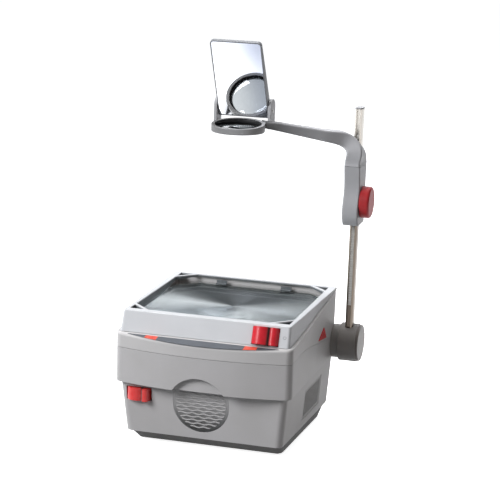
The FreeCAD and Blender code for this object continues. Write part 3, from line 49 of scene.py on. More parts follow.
print("frame loaded:", len(nodes), "nodes")

mm = 0.001


def linear(hexColour):  # an sRGB hex colour as linear RGBA
    parts = [int(hexColour[i:i + 2], 16) / 255 for i in (1, 3, 5)]
    return [p / 12.92 if p <= 0.04045 else ((p + 0.055) / 1.055) ** 2.4 for p in parts] + [1.0]


def addNode(tree, kind, settings=None, links=None):  # a node with its settings and what is plugged into it
    node = tree.nodes.new(kind)
    for name, value in (settings or {}).items():
        if name in node.inputs:
            node.inputs[name].default_value = value
        else:
            setattr(node, name, value)
    for name, socket in (links or {}).items():
        tree.links.new(socket, node.inputs[name])
    return node


def perMm(size):  # noise scale whose features are about size millimetres across
    return 1000.0 / size


waveTurn = 6.28  # a wave texture's own scale, per turn


def startMaterial(name):
    material = bpy.data.materials.new(name)
    material.use_nodes = True
    tree = material.node_tree
    tree.nodes.clear()
    shader = addNode(tree, "ShaderNodeBsdfPrincipled")
    addNode(tree, "ShaderNodeOutputMaterial", {}, {"Surface": shader.outputs["BSDF"]})
    place = addNode(tree, "ShaderNodeTexCoord").outputs["Object"]
    return material, tree, shader, place


def mixColours(tree, first, second, share, blend="MIX"):  # each colour is a hex string or a socket
    mixed = addNode(tree, "ShaderNodeMix", {"data_type": "RGBA", "blend_type": blend})
    for name, colour in (("A", first), ("B", second)):
        if isinstance(colour, str):
            mixed.inputs[name].default_value = linear(colour)
        else:
            tree.links.new(colour, mixed.inputs[name])
    if isinstance(share, float):
        mixed.inputs["Factor"].default_value = share
    else:
        tree.links.new(share, mixed.inputs["Factor"])
    return mixed.outputs["Result"]


def twoTone(tree, share, low, high, hexA, hexB):  # a ramp from one colour to another
    ramp = addNode(tree, "ShaderNodeValToRGB", {}, {"Fac": share})
    for stop, position, colour in zip(ramp.color_ramp.elements, (low, high), (hexA, hexB)):
        stop.position = position
        stop.color = linear(colour)
    return ramp.outputs["Color"]


def mottle(tree, place, size, low, high, hexA, hexB):  # a soft mix of two close colours
    noise = addNode(tree, "ShaderNodeTexNoise", {"Scale": perMm(size), "Detail": 3.0}, {"Vector": place})
    return twoTone(tree, noise.outputs["Fac"], low, high, hexA, hexB)


def edgeGlow(tree, radius):  # 0 on flats, up to 1 on moulded edges, where the painted edge highlight goes
    soft = addNode(tree, "ShaderNodeBevel", {"samples": 4, "Radius": radius * mm})
    sharp = addNode(tree, "ShaderNodeNewGeometry")
    dot = addNode(tree, "ShaderNodeVectorMath", {"operation": "DOT_PRODUCT"})
    tree.links.new(soft.outputs["Normal"], dot.inputs[0])
    tree.links.new(sharp.outputs["Normal"], dot.inputs[1])
    span = {"From Min": 1.0, "From Max": 0.86, "To Min": 0.0, "To Max": 1.0}
    share = addNode(tree, "ShaderNodeMapRange", span, {"Value": dot.outputs["Value"]})
    return soft.outputs["Normal"], share.outputs["Result"]


def paintedShadeAlong(tree, place, colour, paintedShade):  # multiplies a colour by a painted shade that changes along one axis
    axes = addNode(tree, "ShaderNodeSeparateXYZ", {}, {"Vector": place})
    span = {"From Min": paintedShade["start"], "From Max": paintedShade["end"], "interpolation_type": "SMOOTHSTEP"}
    share = addNode(tree, "ShaderNodeMapRange", span, {"Value": axes.outputs[paintedShade["axis"]]})
    tint = mixColours(tree, paintedShade["from"], paintedShade["to"], share.outputs["Result"])
    return mixColours(tree, colour, tint, 1.0, "MULTIPLY")


def wellShade(tree, place, colour, well):  # painted shade: darker inside the stage and below its rim
    axes = addNode(tree, "ShaderNodeSeparateXYZ", {}, {"Vector": place})
    reach = addNode(tree, "ShaderNodeMath", {"operation": "MAXIMUM"})
    for i, axis in enumerate(("X", "Y")):
        size = addNode(tree, "ShaderNodeMath", {"operation": "ABSOLUTE"}, {0: axes.outputs[axis]})
        tree.links.new(size.outputs["Value"], reach.inputs[i])
    across = {"From Min": well["half"] + 0.4 * mm, "From Max": well["half"] + 1.4 * mm}
    up = {"From Min": well["top"] - 2.5 * mm, "From Max": well["top"] - 0.6 * mm}
    outside = addNode(tree, "ShaderNodeMapRange", across, {"Value": reach.outputs["Value"]})
    above = addNode(tree, "ShaderNodeMapRange", up, {"Value": axes.outputs["Z"]})
    share = addNode(tree, "ShaderNodeMath", {"operation": "MAXIMUM"})
    tree.links.new(outside.outputs["Result"], share.inputs[0])
    tree.links.new(above.outputs["Result"], share.inputs[1])
    return mixColours(tree, well["colour"], colour, share.outputs["Value"])


def grainBump(tree, place, size, depth, strength, normal=None):  # fine moulded or cast grain
    noise = addNode(tree, "ShaderNodeTexNoise", {"Scale": perMm(size), "Detail": 2.0}, {"Vector": place})
    links = {"Height": noise.outputs["Fac"]}
    if normal:
        links["Normal"] = normal
    bump = addNode(tree, "ShaderNodeBump", {"Strength": strength, "Distance": depth * mm}, links)
    return bump.outputs["Normal"]


def mouldedPlastic(name, look):  # injection moulded and spark-grained: satin, with a painted highlight on its edges (a painted shade on the grip panel's rib edges)
    material, tree, shader, place = startMaterial(name)
    colour = mottle(tree, place, look["cloud"], 0.3, 0.7, look["dark"], look["light"])
    if "paintedShade" in look:
        colour = paintedShadeAlong(tree, place, colour, look["paintedShade"])
    if "well" in look:
        colour = wellShade(tree, place, colour, look["well"])
    normal, edge = edgeGlow(tree, look["edge"])
    # painted edge highlight (on the grip a painted shade): the edge colour is mixed in on the moulded edges
    edgePaint = addNode(tree, "ShaderNodeMath", {"operation": "MULTIPLY"}, {0: edge})
    edgePaint.inputs[1].default_value = look["paintedEdgeShare"]
    tree.links.new(mixColours(tree, colour, look["paintedEdge"], edgePaint.outputs["Value"]), shader.inputs["Base Color"])
    coarse = {"Scale": perMm(look["grain"] * 8), "Detail": 2.0}
    rough = addNode(tree, "ShaderNodeTexNoise", coarse, {"Vector": place})
    span = {"To Min": look["rough"] - 0.05, "To Max": look["rough"] + 0.05}
    ranged = addNode(tree, "ShaderNodeMapRange", span, {"Value": rough.outputs["Fac"]})
    tree.links.new(ranged.outputs["Result"], shader.inputs["Roughness"])
    grain = grainBump(tree, place, look["grain"], look["depth"], look["bump"], normal)
    tree.links.new(grain, shader.inputs["Normal"])
    shader.inputs["IOR"].default_value = 1.54
    shader.inputs["Specular IOR Level"].default_value = 0.16  # the grain breaks up the glancing reflection
    return material


# colour of the painted shade inside the stage well
stageWell = {"half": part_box("fresnel_lens")[1].x, "top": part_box("stage_frame")[1].z, "colour": "#5d6164"}

plastics = {  # grain is the spark-eroded texture: 0.3 mm on the real mould, drawn at 1 mm so that it shows
    "greyAbs": {"dark": "#b3b1b0", "light": "#b9b7b7", "paintedEdge": "#d2d1d1", "paintedEdgeShare": 0.35, "edge": 0.9,
                "cloud": 60, "rough": 0.5, "grain": 1.0, "depth": 0.03, "bump": 0.25},
    "frameAbs": {"dark": "#c3c4c6", "light": "#c9cacc", "paintedEdge": "#dededf", "paintedEdgeShare": 0.35, "edge": 0.8,
                 "cloud": 60, "rough": 0.46, "grain": 1.0, "depth": 0.03, "bump": 0.2, "well": stageWell},
    "armAbs": {"dark": "#a3a3a5", "light": "#aaaaac", "paintedEdge": "#cfcfd0", "paintedEdgeShare": 0.5, "edge": 1.2,
               "cloud": 40, "rough": 0.42, "grain": 0.9, "depth": 0.02, "bump": 0.2},
    "lidAbs": {"dark": "#bdbbba", "light": "#c3c1c0", "paintedEdge": "#d8d7d7", "paintedEdgeShare": 0.3, "edge": 0.9,
               "cloud": 60, "rough": 0.5, "grain": 1.0, "depth": 0.03, "bump": 0.25},
    # the grip's darker edge colour is a painted shade on its rib edges
    "gripAbs": {"dark": "#b4b2b1", "light": "#bab8b8", "paintedEdge": "#a9a8a7", "paintedEdgeShare": 0.3, "edge": 0.5,
                "cloud": 60, "rough": 0.55, "grain": 1.0, "depth": 0.03, "bump": 0.25},
    "clipAbs": {"dark": "#5f6366", "light": "#686c6f", "paintedEdge": "#84888a", "paintedEdgeShare": 0.3, "edge": 0.4,
                "cloud": 10, "rough": 0.5, "grain": 1.0, "depth": 0.02, "bump": 0.2},
    # painted shade: a darker grey for the whole mirror housing, as on its downward-facing rim
    "shadedRimAbs": {"dark": "#7a7c80", "light": "#828488", "paintedEdge": "#9b9da0", "paintedEdgeShare": 0.4, "edge": 0.8,
               "cloud": 40, "rough": 0.4, "grain": 0.9, "depth": 0.02, "bump": 0.2},
    # painted shade: the lens ring darker towards its left
    "ringAbs": {"dark": "#a3a3a4", "light": "#aaaaab", "paintedEdge": "#c9c9ca", "paintedEdgeShare": 0.4, "edge": 1.0,
                "cloud": 40, "rough": 0.42, "grain": 0.9, "depth": 0.02, "bump": 0.2,
                "paintedShade": {"axis": "X", "start": -0.045, "end": 0.04, "from": "#a9a8a6", "to": "#ffffff"}},
    # painted shade: the arm darker towards the projection head
    "shadedArmAbs": {"dark": "#a6a6a8", "light": "#adadaf", "paintedEdge": "#c4c4c5", "paintedEdgeShare": 0.5, "edge": 1.2,
                     "cloud": 40, "rough": 0.42, "grain": 0.9, "depth": 0.02, "bump": 0.2,
                     "paintedShade": {"axis": "X", "start": 0.03, "end": 0.14, "from": "#8e8e8d", "to": "#ffffff"}},
    "ventAbs": {"dark": "#a5a3a2", "light": "#abaaa9", "paintedEdge": "#b0afae", "paintedEdgeShare": 0.2, "edge": 0.4,
                "cloud": 60, "rough": 0.55, "grain": 1.0, "depth": 0.03, "bump": 0.2},
    "plinthAbs": {"dark": "#4a4948", "light": "#545352", "paintedEdge": "#6d6c6b", "paintedEdgeShare": 0.3, "edge": 0.8,
                  "cloud": 30, "rough": 0.62, "grain": 1.2, "depth": 0.05, "bump": 0.35},
    "hubNylon": {"dark": "#8b8784", "light": "#928e8b", "paintedEdge": "#949090", "paintedEdgeShare": 0.4, "edge": 0.8,
                 "cloud": 25, "rough": 0.5, "grain": 1.0, "depth": 0.03, "bump": 0.3},
    "hubCapNylon": {"dark": "#79736f", "light": "#807a76", "paintedEdge": "#9d9894", "paintedEdgeShare": 0.4, "edge": 0.7,
                    "cloud": 25, "rough": 0.42, "grain": 1.0, "depth": 0.02, "bump": 0.2},
    "blackNylon": {"dark": "#1b1b1c", "light": "#232324", "paintedEdge": "#3a3a3b", "paintedEdgeShare": 0.3, "edge": 0.5,
                   "cloud": 20, "rough": 0.55, "grain": 0.9, "depth": 0.03, "bump": 0.3},
    "whiteAcetal": {"dark": "#dcdbd5", "light": "#e3e2dc", "paintedEdge": "#efeee9", "paintedEdgeShare": 0.2, "edge": 0.4,
                    "cloud": 15, "rough": 0.35, "grain": 0.8, "depth": 0.01, "bump": 0.1},
    "rackAcetal": {"dark": "#b9b7b2", "light": "#c1bfba", "paintedEdge": "#d5d3ce", "paintedEdgeShare": 0.4, "edge": 0.3,
                   "cloud": 12, "rough": 0.4, "grain": 0.8, "depth": 0.01, "bump": 0.1},
    "glazedCeramic": {"dark": "#e4e0d4", "light": "#ebe8dd", "paintedEdge": "#f4f2ea", "paintedEdgeShare": 0.2, "edge": 0.3,
                      "cloud": 6, "rough": 0.6, "grain": 0.7, "depth": 0.02, "bump": 0.3},
}


def creaseShade(tree, place, colour, crease):  # painted shade: the dark bottom of the groove across a finger piece
    axes = addNode(tree, "ShaderNodeSeparateXYZ", {}, {"Vector": place})
    away = addNode(tree, "ShaderNodeMath", {"operation": "SUBTRACT"}, {0: axes.outputs["X"]})
    away.inputs[1].default_value = crease["x"]
    size = addNode(tree, "ShaderNodeMath", {"operation": "ABSOLUTE"}, {0: away.outputs["Value"]})
    span = {"From Min": crease["half"] * 0.4, "From Max": crease["half"]}
    share = addNode(tree, "ShaderNodeMapRange", span, {"Value": size.outputs["Value"]})
    return mixColours(tree, crease["colour"], colour, share.outputs["Result"])


rockerLow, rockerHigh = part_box("power_rocker")
changerLow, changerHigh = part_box("changer_knob")
rockerShare, changerShare = 0.62, 0.66  # where the groove lies across each finger piece
# each crease colour is the painted shade in the bottom of its groove
rockerCrease = {"x": rockerLow.x + rockerShare * (rockerHigh.x - rockerLow.x), "half": 3.6 * mm,
                "colour": "#3c1517"}
changerCrease = {"x": changerLow.x + changerShare * (changerHigh.x - changerLow.x), "half": 2.6 * mm,
                 "colour": "#5a1a18"}


def glossyRed(name, look):  # polished, dyed-through ABS: a deep colour under a thin clear skin
    material, tree, shader, place = startMaterial(name)
    colour = mottle(tree, place, look["cloud"], 0.25, 0.75, look["dark"], look["light"])
    if "crease" in look:
        colour = creaseShade(tree, place, colour, look["crease"])
    tree.links.new(colour, shader.inputs["Base Color"])
    rounded = edgeGlow(tree, 0.7)[0]
    tree.links.new(grainBump(tree, place, 2.5, 0.02, 0.15, rounded), shader.inputs["Normal"])
    shader.inputs["Roughness"].default_value = look["rough"]
    shader.inputs["IOR"].default_value = 1.54
    shader.inputs["Coat Weight"].default_value = look["coat"]
    shader.inputs["Coat Roughness"].default_value = 0.12
    shader.inputs["Specular IOR Level"].default_value = 0.25
    shader.inputs["Subsurface Weight"].default_value = look["glow"]
    shader.inputs["Subsurface Radius"].default_value = (0.004, 0.001, 0.0008)
    return material


reds = {
    "redAbs": {"dark": "#cf2229", "light": "#dc2c30", "rough": 0.3, "coat": 0.15, "cloud": 8, "glow": 0.1},
    "rockerRed": {"dark": "#c51f2b", "light": "#d02a35", "rough": 0.3, "coat": 0.12, "cloud": 8, "glow": 0.05,
                  "crease": rockerCrease},
    "changerRed": {"dark": "#cf2626", "light": "#dc302d", "rough": 0.3, "coat": 0.12, "cloud": 8, "glow": 0.05,
                   "crease": changerCrease},
    "redKnobAbs": {"dark": "#9c1a1f", "light": "#a82226", "rough": 0.5, "coat": 0.03, "cloud": 12, "glow": 0.03},
    "orangePrint": {"dark": "#c8402f", "light": "#d65640", "rough": 0.4, "coat": 0.1, "cloud": 14, "glow": 0.0},
    "badgeLacquer": {"dark": "#474b51", "light": "#555a61", "rough": 0.3, "coat": 0.4, "cloud": 55, "glow": 0.0},
}


def drawnMetal(name, look):  # drawn, rolled or brushed: streaks along the way it was worked
    material, tree, shader, place = startMaterial(name)
    stretch = addNode(tree, "ShaderNodeMapping", {"Scale": look["stretch"]}, {"Vector": place})
    streaks = addNode(tree, "ShaderNodeTexNoise", {"Scale": perMm(look["streak"]), "Detail": 4.0},
                      {"Vector": stretch.outputs["Vector"]})
    colour = twoTone(tree, streaks.outputs["Fac"], 0.3, 0.7, look["dark"], look["light"])
    if "paintedShade" in look:
        colour = paintedShadeAlong(tree, place, colour, look["paintedShade"])
    tree.links.new(colour, shader.inputs["Base Color"])
    span = {"To Min": look["rough"] - 0.07, "To Max": look["rough"] + 0.07}
    rough = addNode(tree, "ShaderNodeMapRange", span, {"Value": streaks.outputs["Fac"]})
    tree.links.new(rough.outputs["Result"], shader.inputs["Roughness"])
    links = {"Height": streaks.outputs["Fac"], "Normal": edgeGlow(tree, 0.5)[0]}
    bump = addNode(tree, "ShaderNodeBump", {"Strength": 0.12, "Distance": 0.01 * mm}, links)
    tree.links.new(bump.outputs["Normal"], shader.inputs["Normal"])
    shader.inputs["Metallic"].default_value = 1.0
    return material


metals = {  # streak is the die line or rolling line spacing in mm, stretch makes it run along one axis
    # painted shade: the mast darker towards its foot
    "anodisedAluminium": {"dark": "#c6c1ba", "light": "#d6d2cb", "rough": 0.36, "streak": 0.8,
                          "stretch": (1, 1, 0.02),
                          "paintedShade": {"axis": "Z", "start": 0.36, "end": 0.56, "from": "#8f8780", "to": "#ffffff"}},
    "turnedSteel": {"dark": "#8f8d8a", "light": "#a9a7a4", "rough": 0.3, "streak": 0.9, "stretch": (0.05, 1, 1)},
    "zincSheet": {"dark": "#8d9093", "light": "#a7aaac", "rough": 0.42, "streak": 6.0, "stretch": (1, 1, 1)},
    "platedBrass": {"dark": "#b79a5a", "light": "#cdb173", "rough": 0.28, "streak": 0.7, "stretch": (1, 0.05, 1)},
}


def windingWire(name):  # enamelled wire under yellow tape: narrow bands round the coil
    material, tree, shader, place = startMaterial(name)
    look = {"Scale": perMm(2.4) / waveTurn, "Distortion": 0.6, "bands_direction": "Z"}
    bands = addNode(tree, "ShaderNodeTexWave", look, {"Vector": place})
    tape = twoTone(tree, bands.outputs["Fac"], 0.0, 1.0, "#a9822c", "#d8b552")
    tree.links.new(tape, shader.inputs["Base Color"])
    shader.inputs["Roughness"].default_value = 0.4
    return material


def solderMask(name):  # lacquered epoxy board with faint copper tracks
    material, tree, shader, place = startMaterial(name)
    tracks = addNode(tree, "ShaderNodeTexBrick", {"Scale": perMm(9), "Mortar Size": 0.06}, {"Vector": place})
    for name, colour in (("Color1", "#1d5a33"), ("Color2", "#1a5230"), ("Mortar", "#3c7b4a")):
        tracks.inputs[name].default_value = linear(colour)
    tree.links.new(tracks.outputs["Color"], shader.inputs["Base Color"])
    shader.inputs["Roughness"].default_value = 0.3
    return material


def softRubber(name):  # moulded nitrile: nearly black, matt, dusty in the pores
    material, tree, shader, place = startMaterial(name)
    tree.links.new(mottle(tree, place, 5, 0.35, 0.7, "#17171a", "#2a2a2c"), shader.inputs["Base Color"])
    tree.links.new(grainBump(tree, place, 0.9, 0.06, 0.5), shader.inputs["Normal"])
    shader.inputs["Roughness"].default_value = 0.8
    return material


def clearGlass(name, look):  # ground and polished: clear, faintly tinted, with hairline smears in its gloss
    material, tree, shader, place = startMaterial(name)
    smears = addNode(tree, "ShaderNodeTexNoise", {"Scale": perMm(look["smear"]), "Detail": 3.0}, {"Vector": place})
    span = {"To Min": look["rough"], "To Max": look["rough"] + 0.04}
    rough = addNode(tree, "ShaderNodeMapRange", span, {"Value": smears.outputs["Fac"]})
    tree.links.new(rough.outputs["Result"], shader.inputs["Roughness"])
    tint = mottle(tree, place, look["smear"], 0.3, 0.7, look["tint"], look["tintLight"])
    tree.links.new(tint, shader.inputs["Base Color"])
    shader.inputs["Transmission Weight"].default_value = 1.0
    shader.inputs["IOR"].default_value = look["ior"]
    return material


glasses = {
    "lensGlass": {"tint": "#dfe4e6", "tintLight": "#e8edef", "rough": 0.0, "ior": 1.6, "smear": 40},
    "fusedQuartz": {"tint": "#eef0f4", "tintLight": "#f4f5f8", "rough": 0.02, "ior": 1.46, "smear": 10},
}


def plateGlass(name):  # float glass: most light goes straight through, the rest is a faint clean reflection
    look = {"tint": "#dfe8e5", "tintLight": "#e9f0ee", "sheen": 0.17, "rough": 0.03}
    material, tree, shader, place = startMaterial(name)
    tint = mottle(tree, place, 70, 0.3, 0.7, look["tint"], look["tintLight"])
    tree.links.new(tint, shader.inputs["Base Color"])
    shader.inputs["Metallic"].default_value = 1.0
    shader.inputs["Roughness"].default_value = look["rough"]
    shader.inputs["Alpha"].default_value = look["sheen"]
    return material


def groovedAcrylic(name):  # pressed acrylic: rings of fine facets, under painted highlight and shade in wedge-shaped sectors round the centre
    look = {"pitch": 0.9, "rough": 0.32, "metal": 0.85, "spread": 0.9,
            "paintedWedges": ["#f6fafd", "#cdd4d9", "#b4bcc2", "#eef2f4", "#dfe4e7", "#757a7e", "#5f6468", "#666b6f",
                       "#f6fafd"]}  # painted highlight and shade in wedge-shaped sectors, anticlockwise from the left
    material, tree, shader, place = startMaterial(name)
    flat = addNode(tree, "ShaderNodeMapping", {"Scale": (1, 1, 0)}, {"Vector": place})
    rings = addNode(tree, "ShaderNodeTexWave", {"wave_type": "RINGS", "rings_direction": "SPHERICAL",
                                                "wave_profile": "SAW", "Scale": perMm(look["pitch"]) / waveTurn},
                    {"Vector": flat.outputs["Vector"]})
    facets = {"Strength": 0.25, "Distance": 0.05 * mm}
    bump = addNode(tree, "ShaderNodeBump", facets, {"Height": rings.outputs["Fac"]})
    tree.links.new(bump.outputs["Normal"], shader.inputs["Normal"])
    angle = addNode(tree, "ShaderNodeTexGradient", {"gradient_type": "RADIAL"}, {"Vector": place})
    paintedFan = addNode(tree, "ShaderNodeValToRGB", {}, {"Fac": angle.outputs["Fac"]})
    steps = len(look["paintedWedges"]) - 1
    for i in range(1, steps):
        paintedFan.color_ramp.elements.new(i / steps)
    for i, hexColour in enumerate(look["paintedWedges"]):
        paintedFan.color_ramp.elements[i].position = i / steps
        paintedFan.color_ramp.elements[i].color = linear(hexColour)
    cloud = mottle(tree, place, 90, 0.3, 0.7, "#e9e9e9", "#ffffff")
    tree.links.new(mixColours(tree, paintedFan.outputs["Color"], cloud, 1.0, "MULTIPLY"), shader.inputs["Base Color"])
    shader.inputs["Roughness"].default_value = look["rough"]
    circling = addNode(tree, "ShaderNodeTangent", {"direction_type": "RADIAL", "axis": "Z"})
    tree.links.new(circling.outputs["Tangent"], shader.inputs["Tangent"])
    shader.inputs["Anisotropic"].default_value = look["spread"]
    shader.inputs["Metallic"].default_value = look["metal"]
    shader.inputs["IOR"].default_value = 1.49
    return material


def silveredMirror(name):  # front-silvered: the reflecting coat is on the outer face, with a breath of haze
    material, tree, shader, place = startMaterial(name)
    haze = addNode(tree, "ShaderNodeTexNoise", {"Scale": perMm(45), "Detail": 2.0}, {"Vector": place})
    span = {"To Min": 0.015, "To Max": 0.05}
    rough = addNode(tree, "ShaderNodeMapRange", span, {"Value": haze.outputs["Fac"]})
    tree.links.new(rough.outputs["Result"], shader.inputs["Roughness"])
    silver = mottle(tree, place, 120, 0.2, 0.8, "#f3f5f8", "#ffffff")
    low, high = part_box("mirror_glass")
    start = low + 0.3 * (high - low)  # painted reflection: the upper right of the mirror is darkened, as if it looked at a darker part of the room
    upward = {"axis": "Z", "start": start.z, "end": high.z, "from": "#ffffff", "to": "#bfc2ca"}
    sideways = {"axis": "X", "start": start.x, "end": high.x, "from": "#ffffff", "to": "#c3c6ce"}
    shaded = paintedShadeAlong(tree, place, paintedShadeAlong(tree, place, silver, upward), sideways)
    tree.links.new(shaded, shader.inputs["Base Color"])
    shader.inputs["Metallic"].default_value = 1.0
    return material


def printedInk(name):  # screen-printed mark: flat, thin and a little dry
    material, tree, shader, place = startMaterial(name)
    tree.links.new(mottle(tree, place, 3, 0.3, 0.7, "#6f7175", "#7b7d81"), shader.inputs["Base Color"])
    shader.inputs["Roughness"].default_value = 0.6
    return material


finish = {name: mouldedPlastic(name, look) for name, look in plastics.items()}
finish.update({name: glossyRed(name, look) for name, look in reds.items()})
finish.update({name: drawnMetal(name, look) for name, look in metals.items()})
finish.update({name: clearGlass(name, look) for name, look in glasses.items()})
finish["floatGlass"] = plateGlass("floatGlass")
finish["windingWire"] = windingWire("windingWire")
finish["solderMask"] = solderMask("solderMask")
finish["nitrileRubber"] = softRubber("nitrileRubber")
finish["groovedAcrylic"] = groovedAcrylic("groovedAcrylic")
finish["silveredMirror"] = silveredMirror("silveredMirror")
finish["printedInk"] = printedInk("printedInk")

slotFinish = {  # which finish each of the record's material slots gets
    "grey_shell": "greyAbs", "pale_frame": "frameAbs", "arm_grey": "armAbs", "dark_plinth": "plinthAbs",
    "hub_dark": "hubNylon", "hub_cap_grey": "hubCapNylon", "red_control": "redAbs", "red_knob": "redKnobAbs",
    "orange_inlay": "orangePrint", "badge_dark": "badgeLacquer", "rubber": "nitrileRubber", "steel": "turnedSteel",
    "sheet_steel": "zincSheet", "aluminium": "anodisedAluminium", "rack_plastic": "rackAcetal",
    "black_plastic": "blackNylon", "white_plastic": "whiteAcetal", "brass": "platedBrass",
    "copper_coil": "windingWire", "board_green": "solderMask", "ceramic": "glazedCeramic",
    "clear_glass": "floatGlass", "lens_glass": "lensGlass", "fresnel_acrylic": "groovedAcrylic",
    "quartz": "fusedQuartz", "front_mirror": "silveredMirror",
}
nodeFinish = {  # nodes whose moulding differs a little from the rest of their slot, several of them also carrying painted shade
    "lid_shell": "lidAbs", "grip_panel": "gripAbs", "side_vents": "ventAbs", "glass_clips": "clipAbs",
    "mirror_housing": "shadedRimAbs", "lens_ring": "ringAbs", "lens_retainer": "blackNylon",
    "projection_arm": "shadedArmAbs", "power_rocker": "rockerRed", "changer_knob": "changerRed",
}
nodeSlot = {s["node"]: s["material_slot"] for s in frame["record"]["subparts"]}
for nodeName, cadObject in nodes.items():
    material = finish[nodeFinish.get(nodeName, slotFinish[nodeSlot[nodeName]])]
    if cadObject.data.materials:
        for i in range(len(cadObject.data.materials)):
            cadObject.data.materials[i] = material
    else:
        cadObject.data.materials.append(material)
print("finishes assigned")


def newPiece(name, bm, material, body, smooth=False):  # a mesh becomes a piece that rides on a body
    bmesh.ops.recalc_face_normals(bm, faces=bm.faces[:])
    mesh = bpy.data.meshes.new(name)
    bm.to_mesh(mesh)
    bm.free()
    if smooth:
        mesh.shade_smooth()
    piece = bpy.data.objects.new(name, mesh)
    bpy.context.scene.collection.objects.link(piece)
    mesh.materials.append(finish[material])
    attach(piece, body)
    return piece


def grooveProfile(look, top):  # (radius, height) up each facet and down its riser, from the centre out
    points = [(look["hub"], top)]
    r = look["hub"]
    while r < look["reach"]:
        slope = look["slope"] * r / look["reach"]
        points.append((r + look["riser"], top - slope * look["pitch"]))
        r += look["pitch"]
        points.append((r, top))
    return points


def fresnelPlate():  # the pressed lens under the stage glass, with its rings of facets as real geometry
    look = {"pitch": 2.4 * mm, "riser": 0.25 * mm, "slope": 0.2, "hub": 1.2 * mm, "reach": 0.205, "sides": 160}
    low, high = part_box("fresnel_lens")
    corner = max(v.co.x + v.co.y for v in nodes["fresnel_lens"].data.vertices)
    bm = bmesh.new()
    profile = grooveProfile(look, high.z) + [(look["reach"] + look["pitch"], low.z)]
    rings = []
    for r, z in profile:
        angles = [2 * math.pi * i / look["sides"] for i in range(look["sides"])]
        rings.append([bm.verts.new((r * math.cos(a), r * math.sin(a), z)) for a in angles])
    for inner, outer in zip(rings, rings[1:]):
        for i in range(look["sides"]):
            j = (i + 1) % look["sides"]
            bm.faces.new((inner[i], outer[i], outer[j], inner[j]))
    bm.faces.new(rings[0])
    bm.faces.new(list(reversed(rings[-1])))
    cuts = [((high.x, 0, 0), (1, 0, 0)), ((low.x, 0, 0), (-1, 0, 0)), ((0, high.y, 0), (0, 1, 0)),
            ((0, low.y, 0), (0, -1, 0))]
    cuts += [((sx * corner / 2, sy * corner / 2, 0), (sx, sy, 0)) for sx in (1, -1) for sy in (1, -1)]
    for point, normal in cuts:
        everything = bm.verts[:] + bm.edges[:] + bm.faces[:]
        bmesh.ops.bisect_plane(bm, geom=everything, plane_co=point, plane_no=normal, clear_outer=True)
        rim = [e for e in bm.edges if e.is_boundary]
        bmesh.ops.contextual_create(bm, geom=rim)
    piece = newPiece("fresnelPlate", bm, "groovedAcrylic", "lid")
    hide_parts("fresnel_lens")


fresnelPlate()
print("fresnel lens pressed")


def ringShadeLiner():  # a matt black sleeve inside the lens ring, a dark sheet that paints the shade down the lens tube, cut along the ring's sloping top
    look = {"thick": 0.35 * mm, "clear": 0.12 * mm, "below": 0.4 * mm, "lip": 4 * mm, "sides": 96, "rows": 6}
    low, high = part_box("lens_ring")
    centreX, centreY = (low.x + high.x) / 2, (low.y + high.y) / 2
    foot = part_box("lens_retainer")[1].z + look["clear"]
    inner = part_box("lens_retainer")[1].x - centreX - look["clear"]
    ringMesh = nodes["lens_ring"].data
    front = max(v.co.z for v in ringMesh.vertices if v.co.y < low.y + look["lip"])
    courses = [(inner, i / look["rows"]) for i in range(look["rows"] + 1)]  # radius and share of the height
    courses += [(inner - look["thick"], 1.0), (inner - look["thick"], 0.0)]
    bm = bmesh.new()
    loops = []
    for r, share in courses:
        loop = []
        for i in range(look["sides"]):
            angle = 2 * math.pi * i / look["sides"]
            x, y = centreX + r * math.cos(angle), centreY + r * math.sin(angle)
            top = front + (high.z - front) * (y - low.y) / (high.y - low.y) - look["below"]
            loop.append(bm.verts.new((x, y, foot + (top - foot) * share)))
        loops.append(loop)
    loops.append(loops[0])
    for a, b in zip(loops, loops[1:]):
        for i in range(look["sides"]):
            j = (i + 1) % look["sides"]
            bm.faces.new((a[i], a[j], b[j], b[i]))
    newPiece("ringShadeLiner", bm, "blackNylon", "carriage", smooth=True)


ringShadeLiner()
print("lens ring lined")


